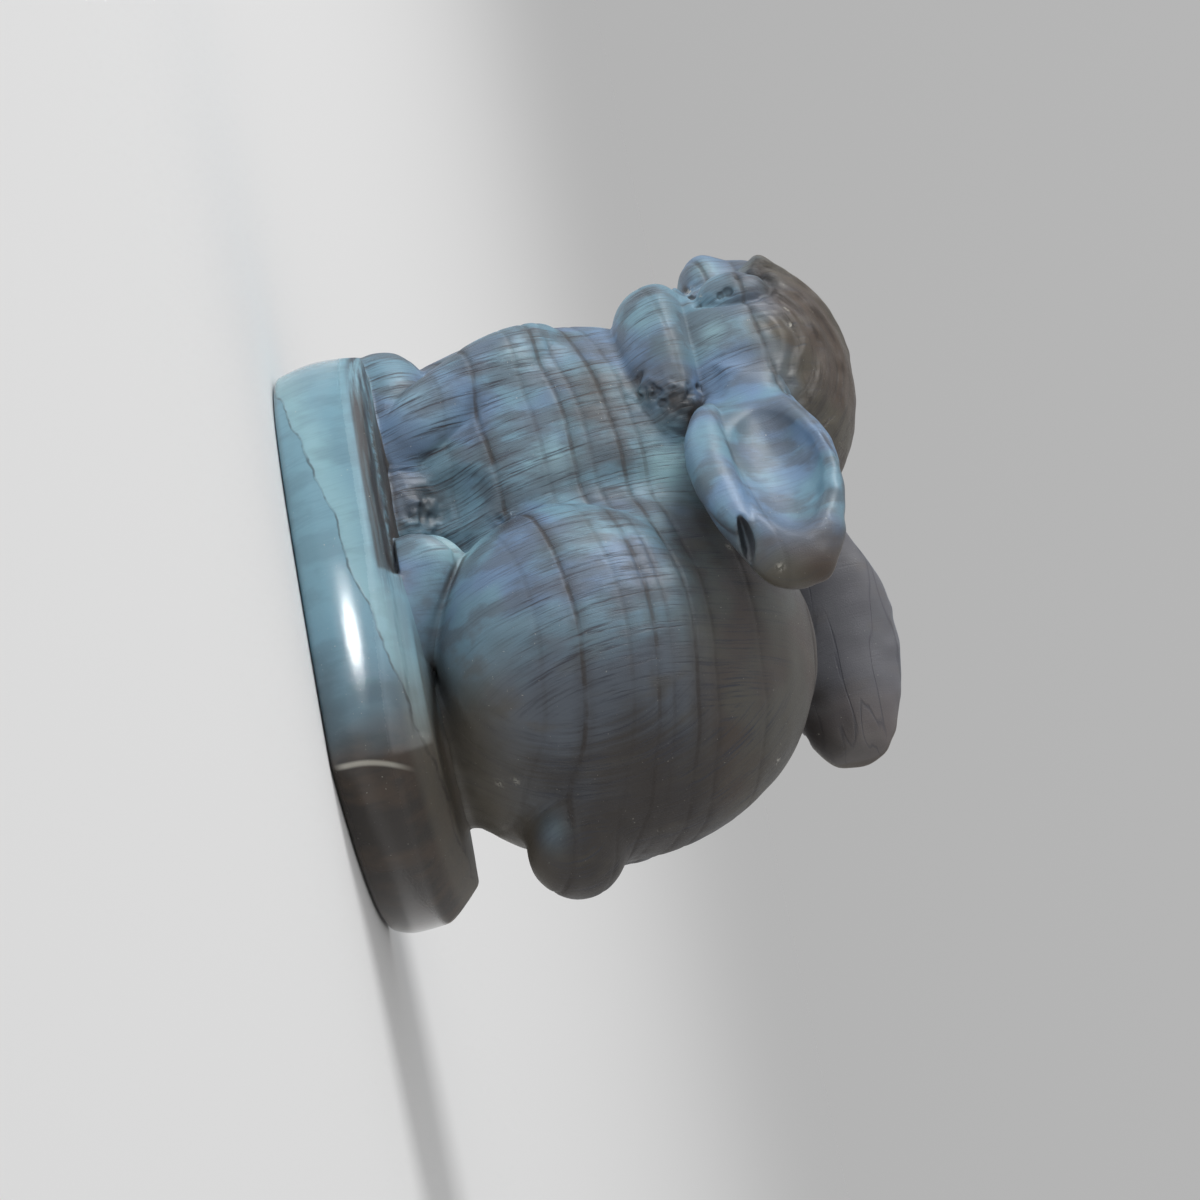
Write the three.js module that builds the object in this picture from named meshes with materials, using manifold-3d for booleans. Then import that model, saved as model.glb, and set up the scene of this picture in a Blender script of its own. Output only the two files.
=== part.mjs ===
// A crouching rabbit with swept-back ears, carved from one block of labradorite on a polished plinth.
// Millimetres. +Z is up, -Y is the way the rabbit faces, +X is the rabbit's left.
// The origin is in the middle of the plinth's underside.
import * as THREE from "three";
import { mergeVertices } from "three/addons/utils/BufferGeometryUtils.js";
import Module from "manifold-3d";

const wasm = await Module();
wasm.setup();

// Plinth: a flared polished band with a bevelled foot, under a ledge of rock layers that fan out forwards
const PLINTH_WIDTH = 27.6;
const PLINTH_FRONT = 20.8;
const PLINTH_REAR = 19.6;
const PLINTH_CORNER_X = 12.7;
const PLINTH_CORNER_Y = 16.6;
const PLINTH_HEIGHT = 7.2;
const PLINTH_FLARE = 0.7;
const FOOT_BEVEL = 0.5;
const BAND_FRONT_HEIGHT = 3.4;
const BAND_REAR_HEIGHT = 5.8;
const SHOULDER_ROUND = 0.3;
const LEDGE_STEPS = 3;
const LEDGE_TREAD = 0.65;
// How full the curves of the plinth's plan are: a higher share is nearer a square corner
const FRONT_FULLNESS = 0.72;
const SIDE_FULLNESS = 0.6;
const REAR_FULLNESS = 0.5;

// Rabbit: heights are taken from the ground it sits on, and distances back from the plinth's middle
const BODY_WIDTH = 23;
const BODY_LENGTH = 28;
const BODY_HEIGHT = 30.2;
const BODY_BACK = 6.6;
const BODY_RISE = 12.8;

const CHEST_WIDTH = 20.2;
const NECK_WIDTH = 17;
const CHEST_DEPTH = 25.6;
const CHEST_HEIGHT = 30;
const CHEST_FRONT = 21.5;
const CHEST_SINK = 4.4;
const CHEST_FULLNESS = 0.7;

const HEAD_WIDTH = 17;
const HEAD_LENGTH = 18.6;
const HEAD_HEIGHT = 17;
const HEAD_AHEAD = 6.4;
const HEAD_LIFT = 0.2;
const HEAD_FULLNESS = 0.84;

const MUZZLE_WIDTH = 8;
const MUZZLE_LENGTH = 8;
const MUZZLE_HEIGHT = 5;
const MUZZLE_PROUD = 1.7;
const MUZZLE_DROP = 1.4;
const NOSTRIL_DIAMETER = 0.9;
const NOSTRIL_SPACING = 2.2;

const CHEEK_WIDTH = 9.2;
const CHEEK_LENGTH = 11.4;
const CHEEK_HEIGHT = 6.2;
const CHEEK_PROUD = 1.5;
const CHEEK_ABOVE_CHIN = 3;
const CHEEK_SETBACK = 0.2;

const EYE_LENGTH = 3.4;
const EYE_HEIGHT = 3.8;
const EYE_BULGE = 0.35;
const SOCKET_MARGIN = 0.7;
const SOCKET_DEPTH = 0.45;
const PUPIL_DIAMETER = 0.9;
const EYE_TURN = THREE.MathUtils.degToRad(18);
const EYE_RISE = 1.2;

const EAR_ROOT_SINK = 2;
const EAR_ROOT_SETBACK = 4.5;
const EAR_ROOT_RISE = 0.6;
const EAR_BEND_OUT = 4.5;
const EAR_BEND_BACK = 9.8;
const EAR_BEND_RISE = 0.8;
const EAR_TIP_OUT = 6.5;
const EAR_TIP_BACK = 21.4;
const EAR_TIP_RISE = 1.2;
const EAR_WIDTH = 10.4;
const EAR_ROOT_WIDTH = 7.3;
const EAR_TIP_WIDTH = 8.3;
const EAR_THICKNESS = 4.6;
const EAR_TIP_THICKNESS = 3.7;
const EAR_FULLNESS = 0.62;
const EAR_RIM = 1.5;
const EAR_HOLLOW_DEPTH = 2;
const EAR_LIP_DIAMETER = 3.6;
const EAR_LIP_OUT = 1.3;
const EAR_LIP_START_DROP = 2;
const EAR_LIP_END_DROP = 2.9;
// Where the lip and the hollow start between an ear's root and bend, and end between its bend and tip
const EAR_LIP_START = 0.2;
const EAR_LIP_MIDDLE = 0.9;
const EAR_LIP_END = 0.6;
const EAR_HOLLOW_START = 0.4;
const EAR_HOLLOW_END = 0.75;
// The right ear stands higher and further back than the left by twice these
const EAR_UNEVEN_RISE = 1;
const EAR_UNEVEN_BACK = 0.6;

const HAUNCH_WIDTH = 14;
const HAUNCH_LENGTH = 20;
const HAUNCH_HEIGHT = 19.4;
const HAUNCH_PROUD = 2.9;
const HAUNCH_SETBACK = 0.8;
const HAUNCH_CLEAR = 0.9;

const TAIL_DIAMETER = 7;
const TAIL_PROUD = 2.7;
const TAIL_RISE = 8;

const FORELEG_WIDTH = 8;
const FORELEG_DEPTH = 11.4;
const FORELEG_LENGTH = 18;
const FORELEG_PROUD = 1.3;
const FORELEG_SPLAY = 1;
const FORELEG_STRIDE = 2.4;
const FORELEG_SINK = 3;
const LIMB_FULLNESS = 0.6;

const FOREPAW_WIDTH = 6.6;
const FOREPAW_HEIGHT = 7.4;
const FOREPAW_LENGTH = 10;
const FOREPAW_SETBACK = 1.5;
const FOREPAW_HEEL_INSET = 1.4;
const FOREPAW_TOE_INSET = 2.8;

const HIND_FOOT_WIDTH = 6;
const HIND_FOOT_HEIGHT = 9;
const HIND_FOOT_LENGTH = 18;
const HIND_FOOT_SETBACK = 1.2;
const HIND_FOOT_HEEL_INSET = 3.8;
const HIND_FOOT_TOE_INSET = 1;

const FOOT_AXIS_RISE = 0.5;
const TOE_GROOVE = 0.8;
const TOE_GROOVE_LENGTH = 3;
const TOE_GROOVE_BOW = 1;
const TOE_SPACING = 2;

// Gap left between neighbouring carved forms
const CLEARANCE = 0.3;

const LEFT = 1;
const RIGHT = -1;
const UP = new THREE.Vector3(0, 0, 1);
const FORWARD = new THREE.Vector3(0, -1, 0);

// Places that follow from those sizes
const BODY_CENTRE = [0, BODY_BACK, BODY_RISE];
const CHEST_FOOT = [0, CHEST_DEPTH / 2 - CHEST_FRONT, -CHEST_SINK];
const HEAD_CENTRE = [0, CHEST_FOOT[1] - HEAD_AHEAD, CHEST_HEIGHT - CHEST_SINK + HEAD_LIFT];
const MUZZLE_REACH = HEAD_LENGTH / 2 + MUZZLE_PROUD - MUZZLE_LENGTH / 2;
const CHEEK_OUT = HEAD_WIDTH / 2 + CHEEK_PROUD - CHEEK_WIDTH / 2;
const CHEEK_DROP = HEAD_HEIGHT / 2 - CHEEK_ABOVE_CHIN;
const HAUNCH_SIDE = BODY_WIDTH / 2 + HAUNCH_PROUD;
const HAUNCH_BACK = BODY_BACK + HAUNCH_SETBACK;
const HAUNCH_FRONT = HAUNCH_BACK - HAUNCH_LENGTH / 2;
const TAIL_BACK = BODY_BACK + BODY_LENGTH / 2 + TAIL_PROUD - TAIL_DIAMETER / 2;
const FORELEG_SIDE = CHEST_WIDTH / 2 + FORELEG_PROUD;

const vector = ([x, y, z]) => new THREE.Vector3(x, y, z);
const moved = ([x, y, z], dx, dy, dz) => [x + dx, y + dy, z + dz];
const between = (a, b, share) => vector(a).lerp(vector(b), share).toArray();

// A solid from a closed geometry
function solidOf(geometry) {
  const bare = geometry.clone();
  bare.deleteAttribute("normal");
  bare.deleteAttribute("uv");
  const merged = mergeVertices(bare, 1e-5);
  return new wasm.Manifold(
    new wasm.Mesh({
      numProp: 3,
      vertProperties: new Float32Array(merged.attributes.position.array),
      triVerts: new Uint32Array(merged.index.array),
    }),
  );
}

// A closed skin over rings of points that run anticlockwise seen from the last ring's end.
// Each end ring is closed by a fan to a pole.
function skin(rings, startPole, endPole) {
  const sides = rings[0].length;
  const points = [startPole, ...rings.flat(), endPole];
  const last = points.length - 1;
  const top = rings.length - 1;
  const at = (ring, side) => 1 + ring * sides + (side % sides);
  const triangles = [];
  for (let side = 0; side < sides; side++) {
    triangles.push(0, at(0, side + 1), at(0, side));
    triangles.push(last, at(top, side), at(top, side + 1));
    for (let ring = 0; ring < top; ring++) {
      const [a, b] = [at(ring, side), at(ring, side + 1)];
      const [c, d] = [at(ring + 1, side + 1), at(ring + 1, side)];
      triangles.push(a, b, c, a, c, d);
    }
  }
  const geometry = new THREE.BufferGeometry().setFromPoints(points);
  geometry.setIndex(triangles);
  return solidOf(geometry);
}

// The value at u, from 0 to 1, of a smooth run through evenly spaced values
function along(values, u) {
  const points = values.map((value, i) => new THREE.Vector2(i, value));
  return new THREE.SplineCurve(points).getPoint(u).y;
}

// An ellipsoid swept along a spine. wide and tall are its full sizes across the spine,
// a fullness under 1 squares its ends off, and grow makes it larger all round.
function swept({ spine, wide, tall, up = UP, fullness = 1, rings = 12, sides = 20 }, grow = 0) {
  const curve = new THREE.CatmullRomCurve3(spine.map(vector));
  const loops = [];
  for (let k = 1; k < rings; k++) {
    const turn = (Math.PI * k) / rings;
    const u = (1 - Math.cos(turn)) / 2;
    const swell = Math.sin(turn) ** fullness;
    const tangent = curve.getTangent(u);
    const across = new THREE.Vector3().crossVectors(up, tangent).normalize();
    const rise = new THREE.Vector3().crossVectors(tangent, across);
    const middle = curve.getPoint(u).addScaledVector(tangent, -grow * Math.cos(turn));
    const halfWide = (along(wide, u) / 2) * swell + grow;
    const halfTall = (along(tall, u) / 2) * swell + grow;
    const point = (_, j) => {
      const angle = (2 * Math.PI * j) / sides;
      return middle
        .clone()
        .addScaledVector(across, halfWide * Math.cos(angle))
        .addScaledVector(rise, halfTall * Math.sin(angle));
    };
    loops.push(Array.from({ length: sides }, point));
  }
  const start = curve.getPoint(0).addScaledVector(curve.getTangent(0), -grow);
  const end = curve.getPoint(1).addScaledVector(curve.getTangent(1), grow);
  return skin(loops, start, end);
}

// An ellipsoid about a centre, its length along Y
function ovoid([x, y, z], [width, length, height], shape, grow) {
  const spine = [[x, y - length / 2, z], [x, y + length / 2, z]];
  return swept({ spine, wide: [width, width], tall: [height, height], ...shape }, grow);
}

// Everything below the ground that the rabbit sits on
function underground() {
  const span = 4 * PLINTH_WIDTH;
  return solidOf(new THREE.BoxGeometry(span, span, span).translate(0, 0, -span / 2));
}

// The plinth's plan: a round front, bowed sides and a squarer rear with a crease at each corner
function plinthPlan() {
  const half = PLINTH_WIDTH / 2;
  const plan = new THREE.Shape();
  plan.moveTo(0, -PLINTH_FRONT);
  plan.bezierCurveTo(FRONT_FULLNESS * half, -PLINTH_FRONT, half, -SIDE_FULLNESS * PLINTH_FRONT, half, 0);
  plan.quadraticCurveTo(half, SIDE_FULLNESS * PLINTH_CORNER_Y, PLINTH_CORNER_X, PLINTH_CORNER_Y);
  plan.quadraticCurveTo(REAR_FULLNESS * PLINTH_CORNER_X, PLINTH_REAR, 0, PLINTH_REAR);
  const leftHalf = plan.getPoints(10);
  const rightHalf = leftHalf.slice(1, -1).reverse().map((p) => new THREE.Vector2(-p.x, p.y));
  return [...leftHalf, ...rightHalf];
}

function plinth() {
  const plan = plinthPlan();
  const normals = plan.map((_, i) => {
    const before = plan[(i + plan.length - 1) % plan.length];
    const after = plan[(i + 1) % plan.length];
    return new THREE.Vector2(after.y - before.y, before.x - after.x).normalize();
  });
  // A ring at a height that may differ from front to rear, pushed out all round and drawn in at the sides
  const level = (frontHeight, rearHeight, out, sidesIn = 0) =>
    plan.map((p, i) => {
      const share = THREE.MathUtils.smoothstep(p.y, -PLINTH_FRONT, PLINTH_CORNER_Y);
      const height = THREE.MathUtils.lerp(frontHeight, rearHeight, share);
      const sideways = (2 * Math.abs(p.x)) / PLINTH_WIDTH;
      const { x, y } = p.clone().addScaledVector(normals[i], out - sidesIn * sideways ** 4);
      return new THREE.Vector3(x, y, height);
    });
  const shoulderOut = PLINTH_FLARE - SHOULDER_ROUND;
  const rings = [
    level(0, 0, -FOOT_BEVEL),
    level(FOOT_BEVEL, FOOT_BEVEL, 0),
    level(BAND_FRONT_HEIGHT - SHOULDER_ROUND, BAND_REAR_HEIGHT - SHOULDER_ROUND, PLINTH_FLARE),
    level(BAND_FRONT_HEIGHT, BAND_REAR_HEIGHT, shoulderOut),
  ];
  const frontRise = (PLINTH_HEIGHT - BAND_FRONT_HEIGHT) / LEDGE_STEPS;
  const rearRise = (PLINTH_HEIGHT - BAND_REAR_HEIGHT) / LEDGE_STEPS;
  for (let step = 1; step <= LEDGE_STEPS; step++) {
    for (const layer of [step - 1, step]) {
      const front = BAND_FRONT_HEIGHT + layer * frontRise;
      const rear = BAND_REAR_HEIGHT + layer * rearRise;
      rings.push(level(front, rear, shoulderOut, step * LEDGE_TREAD));
    }
  }
  return skin(rings, new THREE.Vector3(0, 0, 0), new THREE.Vector3(0, 0, PLINTH_HEIGHT));
}

function hindquarters(grow) {
  const size = [BODY_WIDTH, BODY_LENGTH, BODY_HEIGHT];
  return ovoid(BODY_CENTRE, size, { rings: 18, sides: 30 }, grow);
}

// The chest stands upright as a full barrel that runs up into the neck
function chest(grow) {
  const shape = {
    spine: [CHEST_FOOT, moved(CHEST_FOOT, 0, 0, CHEST_HEIGHT)],
    wide: [CHEST_WIDTH, CHEST_WIDTH, NECK_WIDTH],
    tall: [CHEST_DEPTH, CHEST_DEPTH],
    up: FORWARD,
    fullness: CHEST_FULLNESS,
    rings: 16,
    sides: 28,
  };
  return swept(shape, grow);
}

// The head: a round skull with a short muzzle
function head(grow) {
  const skullShape = { fullness: HEAD_FULLNESS, rings: 16, sides: 26 };
  const skull = ovoid(HEAD_CENTRE, [HEAD_WIDTH, HEAD_LENGTH, HEAD_HEIGHT], skullShape, grow);
  const muzzleCentre = moved(HEAD_CENTRE, 0, -MUZZLE_REACH, -MUZZLE_DROP);
  const muzzle = ovoid(muzzleCentre, [MUZZLE_WIDTH, MUZZLE_LENGTH, MUZZLE_HEIGHT], { sides: 16 }, grow);
  return skull.add(muzzle);
}

// An eye swells out of a shallow socket and has a drilled pupil
function carveEye(face, side) {
  const outward = new THREE.Vector3(side * Math.cos(EYE_TURN), -Math.sin(EYE_TURN), 0);
  const backward = new THREE.Vector3(side * Math.sin(EYE_TURN), Math.cos(EYE_TURN), 0);
  const reach = new THREE.Vector3(HEAD_WIDTH / 2, HEAD_LENGTH / 2, 0).multiply(outward);
  const middle = vector(HEAD_CENTRE).add(reach).addScaledVector(UP, EYE_RISE);
  const lens = (length, height, depth) =>
    swept({
      spine: [-0.5, 0.5].map((share) => middle.clone().addScaledVector(backward, share * length).toArray()),
      wide: [2 * depth, 2 * depth],
      tall: [height, height],
      rings: 8,
      sides: 14,
    });
  const socket = lens(EYE_LENGTH + 2 * SOCKET_MARGIN, EYE_HEIGHT + 2 * SOCKET_MARGIN, SOCKET_DEPTH);
  const eyeball = lens(EYE_LENGTH, EYE_HEIGHT, EYE_BULGE);
  const front = middle.clone().addScaledVector(outward, EYE_BULGE);
  const pupil = new THREE.SphereGeometry(PUPIL_DIAMETER / 2, 8, 6).translate(...front);
  return face.subtract(socket).add(eyeball).subtract(solidOf(pupil));
}

function carveNostril(face, side) {
  const tip = moved(HEAD_CENTRE, 0, -MUZZLE_REACH - MUZZLE_LENGTH / 2, -MUZZLE_DROP);
  const middle = moved(tip, (side * NOSTRIL_SPACING) / 2, NOSTRIL_DIAMETER / 2, NOSTRIL_DIAMETER);
  return face.subtract(solidOf(new THREE.SphereGeometry(NOSTRIL_DIAMETER / 2, 8, 6).translate(...middle)));
}

const carveFace = (solid) =>
  [LEFT, RIGHT].reduce((face, side) => carveNostril(carveEye(face, side), side), solid);

const cheek = (side) => (grow) => {
  const centre = moved(HEAD_CENTRE, side * CHEEK_OUT, CHEEK_SETBACK, -CHEEK_DROP);
  return ovoid(centre, [CHEEK_WIDTH, CHEEK_LENGTH, CHEEK_HEIGHT], {}, grow);
};

function earSpine(side) {
  const back = -side * EAR_UNEVEN_BACK;
  const lift = -side * EAR_UNEVEN_RISE;
  const rootOut = side * (HEAD_WIDTH / 2 - EAR_ROOT_SINK);
  const root = moved(HEAD_CENTRE, rootOut, EAR_ROOT_SETBACK, EAR_ROOT_RISE);
  const middle = moved(root, side * EAR_BEND_OUT, EAR_BEND_BACK + back, EAR_BEND_RISE + lift);
  const tip = moved(root, side * EAR_TIP_OUT, EAR_TIP_BACK + back, EAR_TIP_RISE + lift);
  return { root, middle, tip };
}

// The level direction that an ear's hollow face looks
function earOutward(side) {
  const { root, tip } = earSpine(side);
  const run = vector(tip).sub(vector(root));
  return new THREE.Vector3(side * run.y, -side * run.x, 0).normalize();
}

// An ear: a paddle swept back over the shoulder, with a rolled lip along its lower edge
const ear = (side) => (grow) => {
  const { root, middle, tip } = earSpine(side);
  const paddleShape = {
    spine: [root, middle, tip],
    wide: [EAR_THICKNESS, EAR_THICKNESS, EAR_TIP_THICKNESS],
    tall: [EAR_ROOT_WIDTH, EAR_WIDTH, EAR_TIP_WIDTH],
    fullness: EAR_FULLNESS,
    rings: 16,
  };
  const out = earOutward(side).multiplyScalar(EAR_LIP_OUT);
  const lipAt = (point, drop) => moved(point, out.x, out.y, -drop);
  const lipShape = {
    spine: [
      lipAt(between(root, middle, EAR_LIP_START), EAR_LIP_START_DROP),
      lipAt(between(root, middle, EAR_LIP_MIDDLE), (EAR_WIDTH - EAR_LIP_DIAMETER) / 2),
      lipAt(between(middle, tip, EAR_LIP_END), EAR_LIP_END_DROP),
    ],
    wide: [EAR_LIP_DIAMETER, EAR_LIP_DIAMETER],
    tall: [EAR_LIP_DIAMETER, EAR_LIP_DIAMETER],
    fullness: EAR_FULLNESS,
    sides: 14,
  };
  return swept(paddleShape, grow).add(swept(lipShape, grow));
};

// The scoop in an ear's outer face
const scoopEar = (side) => (solid) => {
  const { root, middle, tip } = earSpine(side);
  const out = earOutward(side).multiplyScalar(EAR_THICKNESS / 2);
  const start = between(root, middle, EAR_HOLLOW_START);
  const end = between(middle, tip, EAR_HOLLOW_END);
  const hollow = swept({
    spine: [start, middle, end].map((point) => moved(point, out.x, out.y, 0)),
    wide: [2 * EAR_HOLLOW_DEPTH, 2 * EAR_HOLLOW_DEPTH],
    tall: [EAR_ROOT_WIDTH, EAR_WIDTH, EAR_TIP_WIDTH].map((width) => width - 2 * EAR_RIM),
    fullness: EAR_FULLNESS,
    sides: 18,
  });
  return solid.subtract(hollow);
};

const haunch = (side) => (grow) => {
  const centre = [side * (HAUNCH_SIDE - HAUNCH_WIDTH / 2), HAUNCH_BACK, HAUNCH_CLEAR + HAUNCH_HEIGHT / 2];
  return ovoid(centre, [HAUNCH_WIDTH, HAUNCH_LENGTH, HAUNCH_HEIGHT], { rings: 16, sides: 26 }, grow);
};

function tail(grow) {
  return ovoid([0, TAIL_BACK, TAIL_RISE], [TAIL_DIAMETER, TAIL_DIAMETER, TAIL_DIAMETER], {}, grow);
}

const foreleg = (side) => (grow) => {
  const wrist = [side * (FORELEG_SIDE - FORELEG_WIDTH / 2), CHEST_FOOT[1] - FORELEG_STRIDE, -FORELEG_SINK];
  const shoulder = moved(wrist, -side * FORELEG_SPLAY, FORELEG_STRIDE, FORELEG_LENGTH);
  const shape = {
    spine: [shoulder, wrist],
    wide: [FORELEG_WIDTH, FORELEG_WIDTH],
    tall: [FORELEG_DEPTH, FORELEG_DEPTH],
    up: FORWARD,
    fullness: LIMB_FULLNESS,
  };
  return swept(shape, grow);
};

// A foot lies along the ground from heel to toe
function foot({ heel, toe }, width, height, grow) {
  const shape = {
    spine: [heel, toe],
    wide: [width, width],
    tall: [height, height],
    fullness: LIMB_FULLNESS,
  };
  return swept(shape, grow);
}

// Two grooves that part a foot's three toes, run from its toe end over the top
function partToes(solid, toe, height) {
  const groove = (shift) => {
    const tip = moved(toe, shift, 0, 0);
    const top = moved(tip, 0, TOE_GROOVE_LENGTH, height / 2);
    return swept({
      spine: [moved(tip, 0, -TOE_GROOVE, 0), moved(between(tip, top, 0.5), 0, 0, TOE_GROOVE_BOW), top],
      wide: [TOE_GROOVE, TOE_GROOVE],
      tall: [TOE_GROOVE, TOE_GROOVE],
      fullness: LIMB_FULLNESS,
      rings: 8,
      sides: 8,
    });
  };
  return solid.subtract(groove(-TOE_SPACING / 2)).subtract(groove(TOE_SPACING / 2));
}

// A foot's heel and toe, set in from the outer side of what it carries and run back from a front line
function footEnds(side, outer, width, heelInset, toeInset, toeBack, length) {
  const outward = (inset) => side * (outer - inset - width / 2);
  return {
    toe: [outward(toeInset), toeBack, FOOT_AXIS_RISE],
    heel: [outward(heelInset), toeBack + length, FOOT_AXIS_RISE],
  };
}

function forepawEnds(side) {
  const toeBack = FOREPAW_SETBACK - CHEST_FRONT;
  const insets = [FOREPAW_HEEL_INSET, FOREPAW_TOE_INSET];
  return footEnds(side, FORELEG_SIDE, FOREPAW_WIDTH, ...insets, toeBack, FOREPAW_LENGTH);
}

function hindFootEnds(side) {
  const toeBack = HAUNCH_FRONT + HIND_FOOT_SETBACK;
  const insets = [HIND_FOOT_HEEL_INSET, HIND_FOOT_TOE_INSET];
  return footEnds(side, HAUNCH_SIDE, HIND_FOOT_WIDTH, ...insets, toeBack, HIND_FOOT_LENGTH);
}

const forepaw = (side) => (grow) => foot(forepawEnds(side), FOREPAW_WIDTH, FOREPAW_HEIGHT, grow);
const forepawToes = (side) => (solid) => partToes(solid, forepawEnds(side).toe, FOREPAW_HEIGHT);
const hindFoot = (side) => (grow) => foot(hindFootEnds(side), HIND_FOOT_WIDTH, HIND_FOOT_HEIGHT, grow);
const hindToes = (side) => (solid) => partToes(solid, hindFootEnds(side).toe, HIND_FOOT_HEIGHT);

const asCut = (solid) => solid;
const pair = (name, shape, finish, colour) =>
  [["left", LEFT], ["right", RIGHT]].map(([word, side]) => (
    { name: `${word}_${name}`, shape: shape(side), finish: finish(side), colour }
  ));

// Every carved form in order: each gives way to those before it, then takes its own finer cuts
const FORMS = [
  { name: "hindquarters", shape: hindquarters, finish: asCut, colour: "#5b6870" },
  ...pair("cheek", cheek, () => asCut, "#86a6b5"),
  { name: "head", shape: head, finish: carveFace, colour: "#6f8592" },
  { name: "chest", shape: chest, finish: asCut, colour: "#7f9dac" },
  ...pair("haunch", haunch, () => asCut, "#6c7d88"),
  ...pair("ear", ear, scoopEar, "#7396a8"),
  ...pair("foreleg", foreleg, () => asCut, "#6f8c9b"),
  ...pair("forepaw", forepaw, forepawToes, "#5f7f90"),
  ...pair("hind_foot", hindFoot, hindToes, "#64747e"),
  { name: "tail", shape: tail, finish: asCut, colour: "#4f565b" },
];

// What is left of a form above ground and outside the forms before it, without loose offcuts
function carved({ shape, finish }, index) {
  const cutters = FORMS.slice(0, index).map((form) => form.shape(CLEARANCE));
  const left = [underground(), ...cutters].reduce((solid, cutter) => solid.subtract(cutter), shape(0));
  const bodies = finish(left).decompose();
  return bodies.reduce((a, b) => (a.volume() >= b.volume() ? a : b));
}

// A named mesh from a solid, standing at a height
function pieceMesh(name, solid, height, colour, roughness) {
  const { vertProperties, triVerts } = solid.getMesh();
  const geometry = new THREE.BufferGeometry();
  geometry.setAttribute("position", new THREE.BufferAttribute(vertProperties, 3));
  geometry.setIndex(new THREE.BufferAttribute(triVerts, 1));
  geometry.computeVertexNormals();
  const material = new THREE.MeshStandardMaterial({ color: colour, roughness, metalness: 0 });
  const mesh = new THREE.Mesh(geometry, material);
  mesh.name = name;
  mesh.position.z = height;
  return mesh;
}

const rabbit = new THREE.Group();
rabbit.name = "labradorite_rabbit";
rabbit.add(pieceMesh("plinth", plinth(), 0, "#54788c", 0.2));
FORMS.forEach((form, index) => {
  rabbit.add(pieceMesh(form.name, carved(form, index), PLINTH_HEIGHT, form.colour, 0.45));
});

export default rabbit;
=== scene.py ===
"""A crouching rabbit carved from labradorite on a polished plinth, as a photograph shows it.

The stone is carved as one field of distances on a grid, in millimetres, so that its forms run into each
other as they do in one block. The field is then cut up into one closed piece for each node of the frame.
"""

import math
from functools import partial

import bpy
import numpy as np
from mathutils import Matrix, Vector


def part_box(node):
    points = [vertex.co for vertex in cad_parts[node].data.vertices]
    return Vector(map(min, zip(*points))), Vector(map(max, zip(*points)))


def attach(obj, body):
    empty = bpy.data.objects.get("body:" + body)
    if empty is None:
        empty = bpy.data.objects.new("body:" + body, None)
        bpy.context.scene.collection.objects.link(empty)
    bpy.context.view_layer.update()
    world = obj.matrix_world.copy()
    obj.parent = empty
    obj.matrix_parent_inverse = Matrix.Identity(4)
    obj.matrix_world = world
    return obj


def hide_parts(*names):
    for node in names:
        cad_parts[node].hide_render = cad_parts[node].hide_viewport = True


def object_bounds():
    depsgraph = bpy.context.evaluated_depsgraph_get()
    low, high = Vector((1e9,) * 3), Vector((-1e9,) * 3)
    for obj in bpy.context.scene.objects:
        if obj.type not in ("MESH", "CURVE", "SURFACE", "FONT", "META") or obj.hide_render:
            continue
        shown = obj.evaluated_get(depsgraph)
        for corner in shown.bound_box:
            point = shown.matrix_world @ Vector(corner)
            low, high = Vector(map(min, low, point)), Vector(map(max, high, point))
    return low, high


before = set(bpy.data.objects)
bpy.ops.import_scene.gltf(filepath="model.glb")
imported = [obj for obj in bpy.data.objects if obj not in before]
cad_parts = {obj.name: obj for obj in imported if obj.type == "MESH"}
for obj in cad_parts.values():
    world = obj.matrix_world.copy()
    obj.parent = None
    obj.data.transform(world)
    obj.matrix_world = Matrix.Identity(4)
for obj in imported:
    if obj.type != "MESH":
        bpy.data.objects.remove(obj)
cad_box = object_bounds()

MM = 0.001
SIDES = {"left": 1, "right": -1}
MIRROR = np.array([-1, 1, 1])


def ends(node):
    """Lowest and highest corner of a node of the frame, in millimetres."""
    low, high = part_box(node)
    return np.array(low) / MM, np.array(high) / MM


def form_of(node):
    """The name of a node without its side."""
    side, _, form = node.partition("_")
    return form if side in SIDES else node


def add_object(name, data):
    """A new object in the scene."""
    made = bpy.data.objects.new(name, data)
    bpy.context.scene.collection.objects.link(made)
    return made


# Camera: behind the rabbit's left shoulder, rolled so that its nose points up the picture

CAMERA_AZIMUTH = math.radians(120)
CAMERA_ELEVATION = math.radians(1.5)
CAMERA_ROLL = math.radians(12)
CAMERA_DISTANCE = 0.4
PIXELS_PER_MM = 13.9
IMAGE_PIXELS = 1200
TARGET = Vector((0, 0, 0.020))
TARGET_FROM_CENTRE = Vector((-2, 8))

view_back = Vector((
    math.sin(CAMERA_AZIMUTH) * math.cos(CAMERA_ELEVATION),
    -math.cos(CAMERA_AZIMUTH) * math.cos(CAMERA_ELEVATION),
    math.sin(CAMERA_ELEVATION),
))
view_up = (Vector((0, 0, 1)) - view_back * view_back.z).normalized()
view_front = view_back.cross(view_up)


def make_camera():
    right = view_up * math.cos(CAMERA_ROLL) - view_front * math.sin(CAMERA_ROLL)
    top = view_up * math.sin(CAMERA_ROLL) + view_front * math.cos(CAMERA_ROLL)
    shift = TARGET_FROM_CENTRE * MM / PIXELS_PER_MM
    data = bpy.data.cameras.new("camera")
    data.lens = data.sensor_width * CAMERA_DISTANCE / (IMAGE_PIXELS * MM / PIXELS_PER_MM)
    data.clip_start = 0.01
    camera = add_object("camera", data)
    camera.matrix_world = Matrix((right, top, view_back)).transposed().to_4x4()
    camera.location = TARGET + view_back * CAMERA_DISTANCE - right * shift.x - top * shift.y
    bpy.context.scene.camera = camera


make_camera()

# The block: a grid of points round the object, and what is known at each of them

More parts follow.
